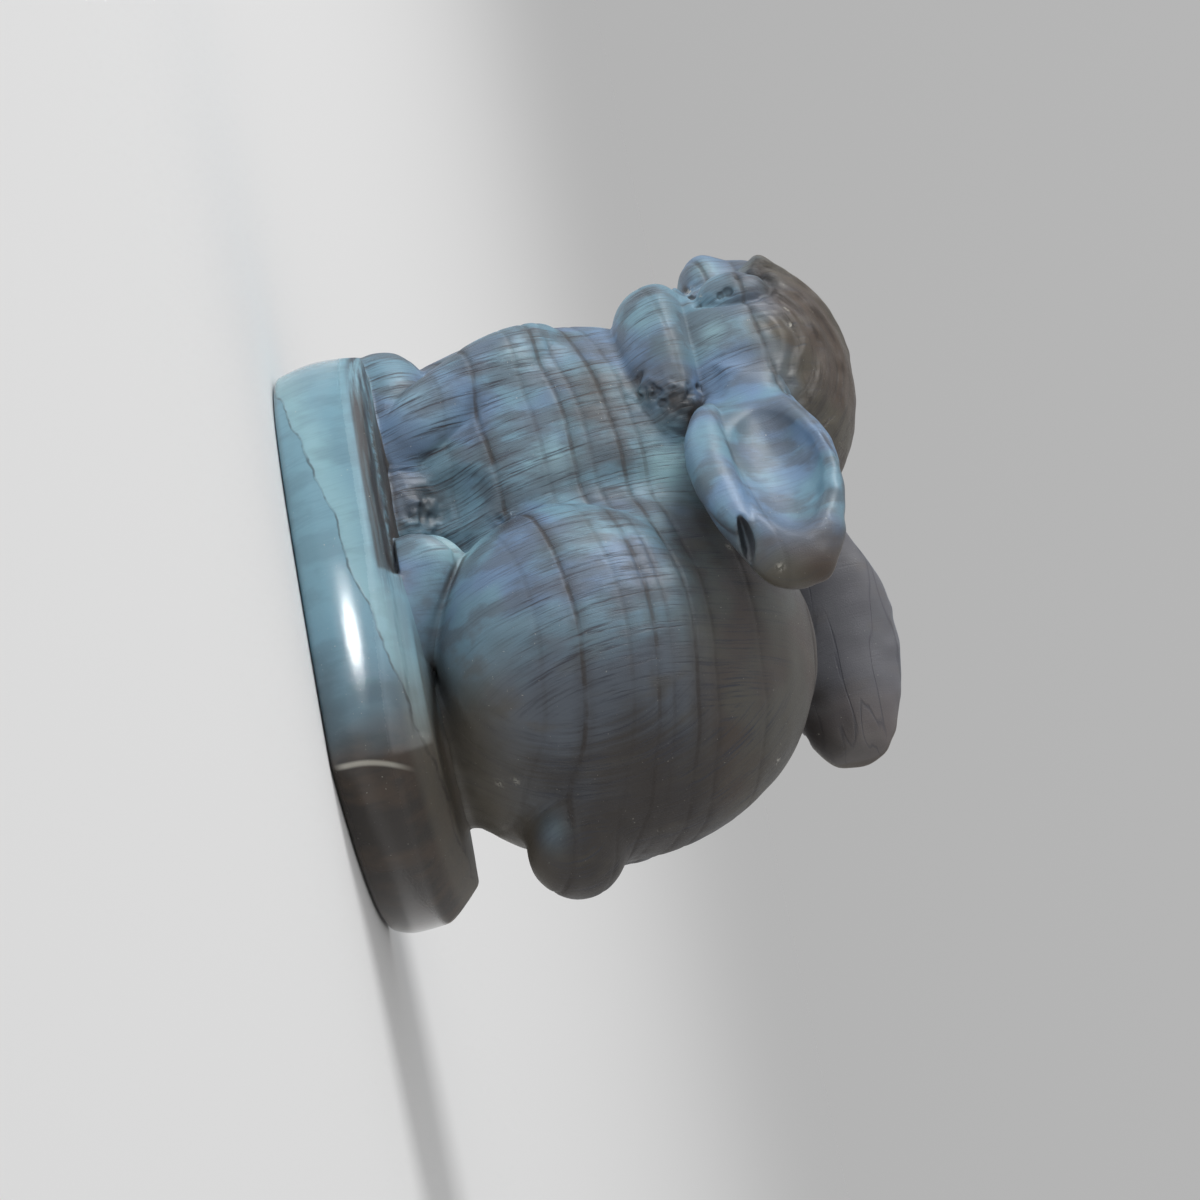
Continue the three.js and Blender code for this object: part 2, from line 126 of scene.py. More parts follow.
STEP = 0.15
MARGIN = 1.2
FORM_REACH = 7.0
PIECE_REACH = 4.5
FAR = 9.0
SIGHT_REACH = 25
SIGHT_STEP = 0.05

block_low = np.array(cad_box[0]) / MM - MARGIN
block_high = np.array(cad_box[1]) / MM + MARGIN
axes = [np.arange(low, high, STEP, dtype=np.float32) for low, high in zip(block_low, block_high)]
grid_shape = tuple(len(axis) for axis in axes)
stone = np.full(grid_shape, FAR, np.float32)
nearest = np.full(grid_shape, FAR, np.float32)
runner_up = np.full(grid_shape, FAR, np.float32)
owner = np.full(grid_shape, -1, np.int8)


def region(low, high, reach):
    """The slices of the grid round a box, and the coordinates along each of its axes there."""
    spans = []
    for axis, start, end in zip(axes, low - reach, high + reach):
        spans.append(slice(*np.searchsorted(axis, [start, end])))
    x, y, z = (axis[span] for axis, span in zip(axes, spans))
    return tuple(spans), (x[:, None, None], y[None, :, None], z[None, None, :])


def mixed(corner, share, look_up):
    """Values between the points of a grid, mixed from the eight corners round each."""
    value = 0
    for shift in np.ndindex(2, 2, 2):
        weight = np.prod(np.where(shift, share, 1 - share), axis=1)
        value = value + weight * look_up(corner + shift)
    return value


def sample(field, points):
    """Values of a field of the block at points in millimetres."""
    spot = (points - block_low) / STEP
    corner = np.clip(np.floor(spot).astype(int), 0, np.array(field.shape) - 2)
    return mixed(corner, np.clip(spot - corner, 0, 1), lambda place: field[tuple(place.T)])


def seen(back, rise):
    """The point of the stone that the photograph shows at a distance back from its middle and a rise."""
    eye = np.array(TARGET + view_back * CAMERA_DISTANCE) / MM
    aim = np.array(TARGET - view_front * back * MM + view_up * (rise - TARGET.z / MM) * MM) / MM
    ray = (aim - eye) / np.linalg.norm(aim - eye)
    reach = CAMERA_DISTANCE / MM
    path = eye + np.arange(reach - SIGHT_REACH, reach + SIGHT_REACH, SIGHT_STEP)[:, None] * ray
    return path[np.argmax(sample(stone, path) < 0)]


# Shapes as distances: below zero inside, above zero outside

# What keeps a division or a power away from zero
TINY_SQUARE = 1e-9
TINY_SLOPE = 1e-6
LATTICE_SIZE = 32


def egg(s, a, b, half, fullness=1.0):
    """About how far a point is from an egg. s runs along it and a and b across it, all from its middle.
    half has its half sizes in that order, and a fullness under 1 squares its ends off."""
    power = 1 / fullness
    length, width, height = half
    across = (a / width) ** 2 + (b / height) ** 2 + TINY_SQUARE
    size = np.sqrt((s / length) ** 2 + across**power)
    bend = power * across ** (power - 1)
    steep = np.sqrt((s / length**2) ** 2 + bend**2 * ((a / width**2) ** 2 + (b / height**2) ** 2))
    return size * (size - 1) / (steep + TINY_SLOPE)


def union(a, b, blend):
    """Two shapes joined, with a fillet about as wide as the blend."""
    share = np.clip(0.5 + (b - a) / (2 * blend), 0, 1)
    return b + (a - b) * share - blend * share * (1 - share)


def cut(a, b, blend):
    """Shape a with shape b cut out of it, with an edge rounded by the blend."""
    return -union(-a, b, blend)


def fade(value, start, end):
    """A smooth step from 0 at start to 1 at end, which may lie either way."""
    share = np.clip((value - start) / (end - start), 0, 1)
    return share * share * (3 - 2 * share)


def between(pair, share):
    """The value at a share of the way from the first number of a pair to the second."""
    return pair[0] + (pair[1] - pair[0]) * share


def bump(value, middle, width):
    """A smooth hump of height 1 about a middle."""
    return np.exp(-(((value - middle) / width) ** 2))


def noise(points, scale, seed):
    """Smooth random values from -1 to 1 at points, changing over about a scale in millimetres."""
    draws = np.random.default_rng(seed)
    lattice = draws.uniform(-1, 1, [LATTICE_SIZE] * 3).astype(np.float32)
    spot = points / scale
    corner = np.floor(spot).astype(int)
    share = fade(spot - corner, 0, 1)
    return mixed(corner, share, lambda place: lattice[tuple((place % LATTICE_SIZE).T)])


def rough(points, *layers):
    """Noise in layers, each with its height, its scale and its seed."""
    return sum(height * noise(points, scale, seed) for height, scale, seed in layers)


# Plinth

PLINTH_FLARE = 0.7
PLINTH_CORNER = (12.7, 16.6)
FOOT_BEVEL = 0.5
FOOT_ROUNDING = 0.1
GROUND_ROUNDING = 0.3
BAND_HEIGHT = 5.2
BAND_TILT = 0.05
# How high the band is widest and how far it leans in above that, at the front and at the sides
WIDEST_RISE = (3.4, 2.0)
BAND_LEAN = (0.1, 0.3)
SIDES_START = (-16, -6)
FLARE_CURVE = 1.7
LEDGE_SLOPE = 0.75
SLOPE_ONSET = 0.6
# Rock layers on the slope: how high each ends, how far it stands out, and where along the plinth it
# starts and ends
LAYERS = ((6.5, 0.9, -14, 2.3), (6.95, 0.4, -18, 1), (6.2, 0.2, 0, 15))
LAYER_FADE_IN = 2.0
LAYER_FADE_OUT = 0.4
LAYER_EDGE = 0.1
# Waves in the layers: how high, and how fast they run along the plinth and across it
LAYER_WAVES = ((0.125, 0.33, 0.2), (0.06, 1.1, 0.0))
FRONT_FULLNESS = 0.72
SIDE_FULLNESS = 0.6
REAR_FULLNESS = 0.5
CURVE_POINTS = 24

plinth_low, plinth_high = ends("plinth")
GROUND = plinth_high[2]


def bezier(handles):
    """Points along the curve that some handles draw, without its last point."""
    share = np.linspace(0, 1, CURVE_POINTS, endpoint=False)[:, None]
    degree = len(handles) - 1
    points = 0
    for i, handle in enumerate(handles):
        points = points + math.comb(degree, i) * share**i * (1 - share) ** (degree - i) * np.array(handle)
    return points


def plinth_plan():
    """The plinth's outline from above: a round front, bowed sides and a crease at each rear corner."""
    half = plinth_high[0] - PLINTH_FLARE
    front = plinth_low[1] + PLINTH_FLARE
    rear = plinth_high[1] - PLINTH_FLARE
    corner_x, corner_y = PLINTH_CORNER
    left = [
        [(0, front), (FRONT_FULLNESS * half, front), (half, SIDE_FULLNESS * front), (half, 0)],
        [(half, 0), (half, SIDE_FULLNESS * corner_y), PLINTH_CORNER],
        [PLINTH_CORNER, (REAR_FULLNESS * corner_x, rear), (0, rear)],
    ]
    points = np.concatenate([*map(bezier, left), [(0, rear)]])
    mirrored = points[-2:0:-1] * (-1, 1)
    return np.concatenate([points, mirrored])


def plan_distance(x, y):
    """How far points of the grid, seen from above, lie outside the plinth's outline."""
    plan = plinth_plan()
    best = np.full(np.broadcast(x, y).shape, np.inf)
    inside = np.zeros(best.shape, bool)
    for (ax, ay), (bx, by) in zip(plan, np.roll(plan, -1, axis=0)):
        run = np.array([bx - ax, by - ay])
        share = np.clip(((x - ax) * run[0] + (y - ay) * run[1]) / (run @ run), 0, 1)
        best = np.minimum(best, np.hypot(x - ax - share * run[0], y - ay - share * run[1]))
        crosses = (ay > y) != (by > y)
        inside ^= crosses & (x < ax + (y - ay) * run[0] / (run[1] or 1))
    return np.where(inside, -best, best)


def plinth(x, y, z):
    """A polished band that swells above its foot, with a slope of rock layers up to the ground."""
    outline = plan_distance(x[:, :, 0], y[:, :, 0])[:, :, None]
    beside = fade(y, *SIDES_START)
    widest = between(WIDEST_RISE, beside)
    flared = PLINTH_FLARE * (1 - np.clip(1 - z / widest, 0, 1) ** FLARE_CURVE)
    leaning = np.clip((z - widest) / (BAND_HEIGHT - widest), 0, 2) ** 2
    flared = flared - between(BAND_LEAN, beside) * leaning
    bevel = FOOT_BEVEL * (1 - np.clip(z / FOOT_BEVEL, 0, 1)) ** 2
    # Above the band the edge rounds over into a slope, with rock layers that stand out of it
    past = np.maximum(z - BAND_HEIGHT + BAND_TILT * y, 0)
    slope = LEDGE_SLOPE * past**2 / (past + SLOPE_ONSET)
    waver = sum(height * np.sin(along * y + across * x) for height, along, across in LAYER_WAVES)
    for rise, depth, start, end in LAYERS:
        begun = fade(y, start - LAYER_FADE_IN, start + LAYER_FADE_IN)
        ended = fade(y, end + LAYER_FADE_OUT, end - LAYER_FADE_OUT)
        slope = slope + depth * begun * ended * fade(z + waver, rise - LAYER_EDGE, rise + LAYER_EDGE)
    sides = outline - flared + bevel + slope
    return cut(cut(sides, GROUND - z, GROUND_ROUNDING), z, FOOT_ROUNDING)


# Body

BODY_SINK = 2.3
BACK_DROP = 0.5
CHEST_SINK = 4.4
CHEST_DEPTH = 25.6
CHEST_FULLNESS = 0.7
NECK_TAPER = 0.16
HAUNCH_HALF = (10.0, 7.0, 9.7)
TAIL_HALF = (3.5, 4.5, 3.5)
# The recess between foreleg and haunch: its middle and half sizes across, along and up
RECESS_MIDDLE = (11.4, -4.0, 10.6)
RECESS_HALF = (3.4, 4.0, 4.7)
RECESS_ROUNDING = 0.3
# The rough lump that was left standing at the foot of the recess
LUMP_MIDDLE = (7.8, -5.6, 7.2)
LUMP_HALF = (2.0, 4.8, 2.6)
LUMP_FILLET = 1.0


def hindquarters(x, y, z):
    low, high = ends("hindquarters")
    half_length = (high[1] - low[1]) / 2
    top = high[2] - BACK_DROP
    half_height = (top - GROUND + BODY_SINK) / 2
    half = (half_length, high[0], half_height)
    return egg(y - high[1] + half_length, x, z - top + half_height, half)


def paired(x, y, z, middle, half):
    """An egg on each side of the rabbit, with its middle and half sizes across, along and up."""
    across, along, up = half
    return egg(z - middle[2], np.abs(x) - middle[0], y - middle[1], (up, across, along))


def chest(x, y, z):
    low, high = ends("chest")
    half_height = (high[2] - GROUND + CHEST_SINK) / 2
    rise = z - high[2] + half_height
    half_width = high[0] * (1 - NECK_TAPER * np.clip(rise / half_height, 0, 1) ** 2)
    half = (half_height, half_width, CHEST_DEPTH / 2)
    trunk = egg(rise, x, y - low[1] - CHEST_DEPTH / 2, half, CHEST_FULLNESS)
    recess = paired(x, y, z, RECESS_MIDDLE, RECESS_HALF)
    lump = paired(x, y, z, LUMP_MIDDLE, LUMP_HALF)
    return union(cut(trunk, recess, RECESS_ROUNDING), lump, LUMP_FILLET)


def haunch(side, x, y, z):
    low, high = ends("left_haunch")
    half_length, half_width, half_height = HAUNCH_HALF
    out = SIDES[side] * x - high[0] + half_width
    return egg(y - high[1] + half_length, out, z - low[2] - half_height, HAUNCH_HALF)


def tail(x, y, z):
    low, high = ends("tail")
    return egg(y - high[1] + TAIL_HALF[0], x, z - (low[2] + high[2]) / 2, TAIL_HALF)


# Head

HEAD_LENGTH = 17.8
HEAD_MIDDLE_BACK = 9.9
HEAD_REAR = 10.5
HEAD_FULLNESS = 0.84
HEAD_LEAN = 0.15
HEAD_LEAN_RISE = 3.2
MUZZLE_HALF = (3.6, 3.6, 2.2)
MUZZLE_FULLNESS = 0.8
MUZZLE_SETBACK = 0.5
MUZZLE_DROP = 0.9
MUZZLE_BLEND = 0.5
# The skull is cut back beside the nose: how deep, and where that fades in at its foot and top, to the front
# and towards the middle
MUZZLE_GROOVE = 1.2
GROOVE_FOOT = (-3.2, -2.2)
GROOVE_TOP = (3.8, 0.8)
GROOVE_FRONT = (-17.5, -20.5)
GROOVE_SIDE = (7.5, 5.5)
BRIDGE_HALF = (2.7, 2.6, 3.4)
BRIDGE_RISE = 1.2
BRIDGE_ADVANCE = 0.2
BRIDGE_BLEND = 1.2
NOSTRIL_OUT = 0.95
NOSTRIL_HALF = (0.8, 0.85, 0.32)
NOSTRIL_SLANT = 0.6
NOSTRIL_SETBACK = 0.2
NOSTRIL_DROP = 0.3
NOSTRIL_ROUNDING = 0.2
# The cleft under the nose: its depth, its width, and where it fades in downwards and to the front
CLEFT_DEPTH = 0.5
CLEFT_WIDTH = 0.3
CLEFT_TOP = (-0.6, -1.0)
CLEFT_FRONT = (3.0, 1.5)
BROW_HEIGHT = 0.4
BROW_RISE = 3.2
BROW_WIDTH = 1.3
BROW_FRONT = (-18, -21)
EYE_TURN = math.radians(26)
EYE_BACK = 5.0
EYE_RISE = 0.9
EYE_HALF = (1.8, 2.6)
EYE_BULGE = 0.5
EYE_GROOVE = 0.36
# Middle and width of the groove round an eye, as shares of the eye's half sizes
EYE_RING = (1.08, 0.16)
EYE_SIDE = (3, 5)
# The recess under the brow: its depth, its slant, and its middles and widths along the eye and up it
BROW_RECESS = 0.6
RECESS_SLANT = 0.7
RECESS_PIVOT = 2.0
RECESS_ALONG = (-1.6, 0.7)
RECESS_UP = (2.3, 1.0)
CHEEK_TOP = 2.6
CHEEK_GROWTH = np.array([0, 2.3, 0.3])
CHEEK_ADVANCE = np.array([0, 0.3, 0.1])
CHEEK_FULLNESS = 0.6
CHEEK_TURN = 0.1
CHEEK_SINK = 0.4
CHEEK_GROOVE = -0.15
CHEEK_ROUNDING = 0.3

head_low, head_high = ends("head")
head_front = head_high[1] - HEAD_LENGTH
head_middle = np.array([0, head_front + HEAD_MIDDLE_BACK, (head_low[2] + head_high[2]) / 2])


def cheek(side, x, y, z):
    """The jowl, which is fullest near its flat top."""
    low, high = ends(f"{side}_cheek")
    low, high = low - CHEEK_ADVANCE, high + CHEEK_GROWTH
    middle = (low + high) / 2
    half_width, half_length, half_height = (high - low) / 2
    level = high[2] - CHEEK_TOP
    up = (z - level) * np.where(z > level, half_height / CHEEK_TOP, half_height / (level - low[2]))
    back = y - middle[1]
    out = SIDES[side] * (x - middle[0]) - CHEEK_TURN * back + CHEEK_SINK
    return egg(back, out, up, (half_length, half_width, half_height), CHEEK_FULLNESS)


def eye_relief(x, y, z, half_width):
    """How far the skull is cut back at an eye: a swelling in a groove, with a recess under the brow."""
    out = np.abs(x) - half_width * math.cos(EYE_TURN)
    back = y - head_front - EYE_BACK
    along = out * math.sin(EYE_TURN) + back * math.cos(EYE_TURN)
    rise = z - head_middle[2] - EYE_RISE
    ring = np.sqrt((along / EYE_HALF[0]) ** 2 + (rise / EYE_HALF[1]) ** 2)
    groove = EYE_GROOVE * bump(ring, *EYE_RING)
    swelling = EYE_BULGE * np.clip(1 - ring**2, 0, 1)
    slanted = along + RECESS_SLANT * (rise - RECESS_PIVOT)
    recess = BROW_RECESS * bump(slanted, *RECESS_ALONG) * bump(rise, *RECESS_UP)
    return fade(np.abs(x), *EYE_SIDE) * (groove - swelling + recess)


def nose(x, y, rise):
    """The muzzle with the bridge above it, the nostrils and the cleft below them."""
    front = head_low[1] + MUZZLE_SETBACK
    back = y - front - MUZZLE_HALF[0]
    muzzle = egg(back, x, rise + MUZZLE_DROP, MUZZLE_HALF, MUZZLE_FULLNESS)
    bridge = egg(back + BRIDGE_ADVANCE, x, rise - BRIDGE_RISE, BRIDGE_HALF)
    beside = np.abs(x) - NOSTRIL_OUT
    slanted = rise + NOSTRIL_DROP - NOSTRIL_SLANT * beside
    nostril = egg(y - front - NOSTRIL_SETBACK, beside, slanted, NOSTRIL_HALF)
    cleft = CLEFT_DEPTH * bump(x, 0, CLEFT_WIDTH) * fade(rise, *CLEFT_TOP) * fade(y - front, *CLEFT_FRONT)
    return cut(union(muzzle, bridge, BRIDGE_BLEND) + cleft, nostril, NOSTRIL_ROUNDING)


def head(x, y, z):
    half = (HEAD_MIDDLE_BACK, head_high[0], (head_high[2] - head_low[2]) / 2)
    rise = z - head_middle[2]
    back = y - head_middle[1] + HEAD_LEAN * np.minimum(rise, HEAD_LEAN_RISE)
    back = back * np.where(back > 0, HEAD_MIDDLE_BACK / HEAD_REAR, 1)
    skull = egg(back, x, rise, half, HEAD_FULLNESS)
    brow = BROW_HEIGHT * bump(rise, BROW_RISE, BROW_WIDTH) * fade(y, *BROW_FRONT)
    upright = fade(rise, *GROOVE_FOOT) * fade(rise, *GROOVE_TOP)
    beside_nose = upright * fade(y, *GROOVE_FRONT) * fade(np.abs(x), *GROOVE_SIDE)
    skull = skull - brow + MUZZLE_GROOVE * beside_nose + eye_relief(x, y, z, half[1])
    for side in SIDES:
        skull = cut(skull, cheek(side, x, y, z) - CHEEK_GROOVE, CHEEK_ROUNDING)
    return union(skull, nose(x, y, rise), MUZZLE_BLEND)


# Ears

EAR_HALF = (10.9, 2.3, 5.2)
EAR_FULLNESS = 0.62
EAR_ROOT_OUT = 6.5
EAR_TIP_OUT = 12.7
EAR_BOW = 1.5
# Where along the ear it is broadest, and the shares of that breadth at its root and its tip
EAR_BROADEST = 0.45
EAR_ROOT_SHARE = 0.7
EAR_TIP_SHARE = 0.8
# Where along the ear it reaches its full thickness, and the share of that at its root
EAR_THICKEST = 0.4
EAR_ROOT_THICKNESS = 0.45
# How high the root and the tip lie, with the rise of the bow between them
EAR_RISE = {"left": (33.0, -0.2, 34.6), "right": (33.6, 0.8, 35.8)}
HOLLOW_LIFT = 0.6
HOLLOW_HALF = (7.2, 3.0, 3.5)
HOLLOW_FULLNESS = 0.85
HOLLOW_SLANT = 0.22
HOLLOW_PIVOT = 1.0
HOLLOW_ROUNDING = 1.1
# Folds that fan out round a point in front of the root, and where they fade in
FOLD_HEIGHT = 0.2
FOLD_DENSITY = 5.5
FOLD_CENTRE = (-12.5, -2.0)
FOLD_ALONG = (-4.0, -7.5)
FOLD_OUT = (-0.5, 0.5)
LIP_MIDDLE = -0.6
LIP_OUT = 1.2
LIP_DROP = 3.7
LIP_HALF = (7.3, 1.6, 1.7)
LIP_FULLNESS = 0.9
LIP_CURVE = 0.02
LIP_BLEND = 0.2
NOTCH_MIDDLE = 7.8
NOTCH_DROP = 3.2
NOTCH_OUT = 2.0
NOTCH_HALF = (2.7, 2.2, 0.6)
NOTCH_SLANT = 0.3
NOTCH_CURVE = 0.08
NOTCH_ROUNDING = 0.2


def ear(side, x, y, z):
    """A bowed paddle with a hollow outer face and a rolled lower edge."""
    low, high = ends(f"{side}_ear")
    length = high[1] - low[1]
    root_rise, bow_rise, tip_rise = EAR_RISE[side]
    share = (y - low[1]) / length
    bow = 4 * share * (1 - share)
    line_out = EAR_ROOT_OUT + (EAR_TIP_OUT - EAR_ROOT_OUT) * share + EAR_BOW * bow
    line_rise = root_rise + (tip_rise - root_rise) * share + bow_rise * bow
    slope = (EAR_TIP_OUT - EAR_ROOT_OUT + 4 * EAR_BOW * (1 - 2 * share)) / length
    out = (SIDES[side] * x - line_out) / np.sqrt(1 + slope**2)
    rise = z - line_rise
    along = 2 * EAR_HALF[0] * (share - 0.5)
    root_taper = (1 - EAR_ROOT_SHARE) * fade(share, EAR_BROADEST, 0)
    tip_taper = (1 - EAR_TIP_SHARE) * fade(share, EAR_BROADEST, 1)
    taper = 1 - root_taper - tip_taper
    thickness = EAR_HALF[1] * between((EAR_ROOT_THICKNESS, 1), fade(share, 0, EAR_THICKEST))
    half = (EAR_HALF[0], thickness, EAR_HALF[2] * taper)
    paddle = egg(along, out, rise, half, EAR_FULLNESS)
    # The hollow is deepest under its upper edge
    hollow_half = (HOLLOW_HALF[0], HOLLOW_HALF[1], HOLLOW_HALF[2] * taper)
    hollow_rise = rise - HOLLOW_LIFT
    sunk = out - EAR_HALF[1] + HOLLOW_SLANT * (hollow_rise - HOLLOW_PIVOT)
    hollow = egg(along, sunk, hollow_rise, hollow_half, HOLLOW_FULLNESS)
    shell = cut(paddle, hollow, HOLLOW_ROUNDING)
    # Folds fan out from the root
    fan = np.sin(FOLD_DENSITY * np.arctan2(rise - FOLD_CENTRE[1], along - FOLD_CENTRE[0]))
    shell = shell + FOLD_HEIGHT * fan * fade(along, *FOLD_ALONG) * fade(out, *FOLD_OUT)
    # The lower edge is rolled out over the hollow as a lip, which ends in a notch before the tip
    past_lip = along - LIP_MIDDLE
    sag = LIP_DROP - LIP_CURVE * past_lip**2
    lip = egg(past_lip, out - LIP_OUT, rise + sag, LIP_HALF, LIP_FULLNESS)
    past_notch = along - NOTCH_MIDDLE
    notch_sag = NOTCH_DROP + NOTCH_SLANT * past_notch + NOTCH_CURVE * past_notch**2
    notch = egg(past_notch, out - NOTCH_OUT, rise + notch_sag, NOTCH_HALF)
    return cut(union(shell, lip, LIP_BLEND), notch, NOTCH_ROUNDING)


# Legs and feet

FORELEG_HALF = (7.4, 3.6, 3.9)
FORELEG_SINK = 1.4
FORELEG_LEAN = -0.5
FORELEG_SETBACK = -1.4
FORELEG_SPLAY = 0.055
FORELEG_FULLNESS = 0.75
LIMB_FULLNESS = 0.6
FOREPAW_HALF = (6.5, 3.6, 3.7)
FOREPAW_OUT = 6.4
FOREPAW_SETBACK = 0.45
FOREPAW_TURN = 0.14
HIND_FOOT_HALF = (7.4, 3.0, 4.9)
HIND_FOOT_OUT = 9.0
HIND_FOOT_TURN = -0.155
HEEL_DROP = 5.0
HEEL_START = 2.0
HEEL_END = 9.5
FOOT_AXIS_RISE = 0.5
TOE_SPACING = 2.0
TOE_GROOVE = 0.4
TOE_GROOVE_WIDTH = 0.3
# Where the grooves fade in, from the front end
TOE_LENGTH = (3.5, 1.5)


def foreleg(side, x, y, z):
    low, high = ends("left_foreleg")
    middle_rise = GROUND - FORELEG_SINK + FORELEG_HALF[0]
    rise = z - middle_rise
    out = SIDES[side] * x - high[0] + FORELEG_HALF[1] + FORELEG_SPLAY * rise
    back = y - low[1] - FORELEG_SETBACK - FORELEG_HALF[2] - FORELEG_LEAN * rise
    return egg(rise, out, back, FORELEG_HALF, FORELEG_FULLNESS)


def foot(side, x, y, z, node, half, middle_out, turn, setback, heel_drop):
    """A foot that lies along the ground, turned a little, with its toes parted by grooves."""
    low, _ = ends(f"left_{node}")
    along = y - low[1] - setback - half[0]
    out = SIDES[side] * x - middle_out - turn * along
    from_toes = along + half[0]
    drop = heel_drop * np.clip((from_toes - HEEL_START) / (HEEL_END - HEEL_START), 0, 1)
    shape = egg(along, out, z - GROUND - FOOT_AXIS_RISE + drop, half, LIMB_FULLNESS)
    grooves = bump(np.abs(out), TOE_SPACING / 2, TOE_GROOVE_WIDTH) * fade(from_toes, *TOE_LENGTH)
    return shape + TOE_GROOVE * grooves


def forepaw(side, x, y, z):
    return foot(side, x, y, z, "forepaw", FOREPAW_HALF, FOREPAW_OUT, FOREPAW_TURN, FOREPAW_SETBACK, 0)


def hind_foot(side, x, y, z):
    return foot(side, x, y, z, "hind_foot", HIND_FOOT_HALF, HIND_FOOT_OUT, HIND_FOOT_TURN, 0, HEEL_DROP)


# Carving: each form joins the block with a fillet, which is wide where the stone flows and narrow at a groove

BACK, UP = 1, 2
HEAD_FILLET = 0.8
TAIL_FILLET = 1.3
GROOVE_FILLET = 0.3
# The least and the greatest fillet of a form that flows into the block at one end
HAUNCH_FILLET = (0.35, 2.75)
HAUNCH_TOP = (-0.2, 0.9)
HAUNCH_REAR = (8, 14)
EAR_FILLET = (0.4, 2.2)
EAR_ROOT_BACK = (-4, -9)
EAR_ROOT_RISE = (30.5, 32.5)
# How far some forms reach below the ground
SUNK = {"chest": 1.2, "foreleg": 1.2, "forepaw": 1.2, "hind_foot": 0.2}


def flowing(fillet, axis, start, end):
    """A fillet that grows from its least to its greatest along one axis of the grid."""
    return lambda *grid: between(fillet, fade(grid[axis], start, end))


def haunch_fillet(x, y, z):
    """The haunch is parted from the body by a crease in front and below, and flows into it elsewhere."""
    low, high = ends("left_haunch")
    half_length, _, half_height = HAUNCH_HALF
    back = (y - high[1] + half_length) / half_length
    rise = (z - low[2] - half_height) / half_height
    return between(HAUNCH_FILLET, np.maximum(fade(2 * back + rise, *HAUNCH_TOP), fade(y, *HAUNCH_REAR)))


def ear_fillet(x, y, z):
    """The ear fans out of the head at its root and stands clear behind."""
    return between(EAR_FILLET, fade(y, *EAR_ROOT_BACK) * fade(z, *EAR_ROOT_RISE))


# The chest has a dark line at the ground, the rump and the heels are worn into the ground behind, and the
# forelegs flow into the shoulders above
chest_fillet = flowing((0.15, 1.3), UP, GROUND + 0.5, GROUND + 4)
rump_fillet = flowing((0.2, 2.4), BACK, 5, 13)
heel_fillet = flowing((0.3, 1.4), BACK, 3, 9)
foreleg_fillet = flowing((0.2, 1.8), UP, 12.5, 17)

FORMS = [
    ("plinth", plinth, GROOVE_FILLET),
    ("hindquarters", hindquarters, rump_fillet),
    ("chest", chest, chest_fillet),
    ("head", head, HEAD_FILLET),
]
PAIRED_FORMS = {
    "ear": (ear, ear_fillet),
    "cheek": (cheek, GROOVE_FILLET),
    "haunch": (haunch, haunch_fillet),
    "foreleg": (foreleg, foreleg_fillet),
    "forepaw": (forepaw, GROOVE_FILLET),
    "hind_foot": (hind_foot, heel_fillet),
}
for form_side in SIDES:
    for form, (form_shape, form_fillet) in PAIRED_FORMS.items():
        FORMS.append((f"{form_side}_{form}", partial(form_shape, form_side), form_fillet))
FORMS.append(("tail", tail, TAIL_FILLET))


def carve(index, node, shape, fillet):
    """Joins one form to the block and notes where it is the nearest form."""
    spans, grid = region(*ends(node), FORM_REACH)
    distance = shape(*grid).astype(np.float32)
    fillet = fillet(*grid) if callable(fillet) else fillet
    form_name = form_of(node)
    if form_name in SUNK:
        distance = np.maximum(distance, GROUND - SUNK[form_name] - grid[UP])
    stone[spans] = union(stone[spans], distance, fillet)
    closer = distance < nearest[spans]
    runner_up[spans] = np.where(closer, nearest[spans], np.minimum(runner_up[spans], distance))
    nearest[spans] = np.where(closer, distance, nearest[spans])
    owner[spans] = np.where(closer, index, owner[spans])


for form_index, form_row in enumerate(FORMS):
    carve(form_index, *form_row)


# Surface: lumps, hair, rough places and the stone's own grain, cut into a thin skin of the block

SKIN = 0.8
# Unevenness: how high it is, over how many millimetres it changes, and its seed
LUMPS = ((0.09, 3.1, 1), (0.05, 1.3, 2))
RUBBLE = ((0.3, 0.8, 7), (0.2, 0.4, 8))
HAIR_LUMPS = (0.07, 0.9, 5)
HAIR_WAVER = (1.6, 2.2, 4)
RIM_LUMPS = (0.1, 1.1, 6)
SPLIT_WAVER = (0.3, 5.0, 3)
# Hair-like strands run in rings round a point a little behind the middle of the head
HAIR_SETBACK = 1.0
HAIR_HEIGHT = 0.09
HAIR_DENSITY = 4.6
# Where the figure above the plinth, its crown and the upper rims of its ears fade in
FIGURE_UP = (GROUND - 0.3, GROUND + 1)
CROWN_UP = (34.5, 37.5)
CROWN_SIDE = (9.5, 8)
CROWN_FRONT = (-4, -8)
RIM_UP = (33, 36)
RIM_SIDE = (9.5, 11)
SPLIT_DEPTH = 0.09
SPLIT_WIDTH = 0.2
# The planes that the rock splits along: how high each lies at the block's middle, and how strong it is
STRATA = (
    (8.4, 0.3), (11.2, 1.0), (14.8, 0.4), (16.9, 0.85), (18.2, 0.45),
    (20.3, 0.9), (22.0, 0.6), (26.3, 0.4), (33.1, 0.85), (35.9, 0.4),
)
# How much the planes rise across the block and along it
STRATA_TILT = (0.45, 0.11)
# Rough places: how far back and how high the photograph shows them, how wide, and how rough
ROUGH_MARKS = (
    (-8.4, 9.0, 1.8, 1.0), (-12.4, 28.4, 1.5, 1.3), (-13.4, 26.6, 1.2, 1.2),
    (-19.4, 31.3, 0.8, 0.8), (-18.6, 11.2, 0.7, 1.0), (-6.3, 14.2, 1.0, 0.7),
)
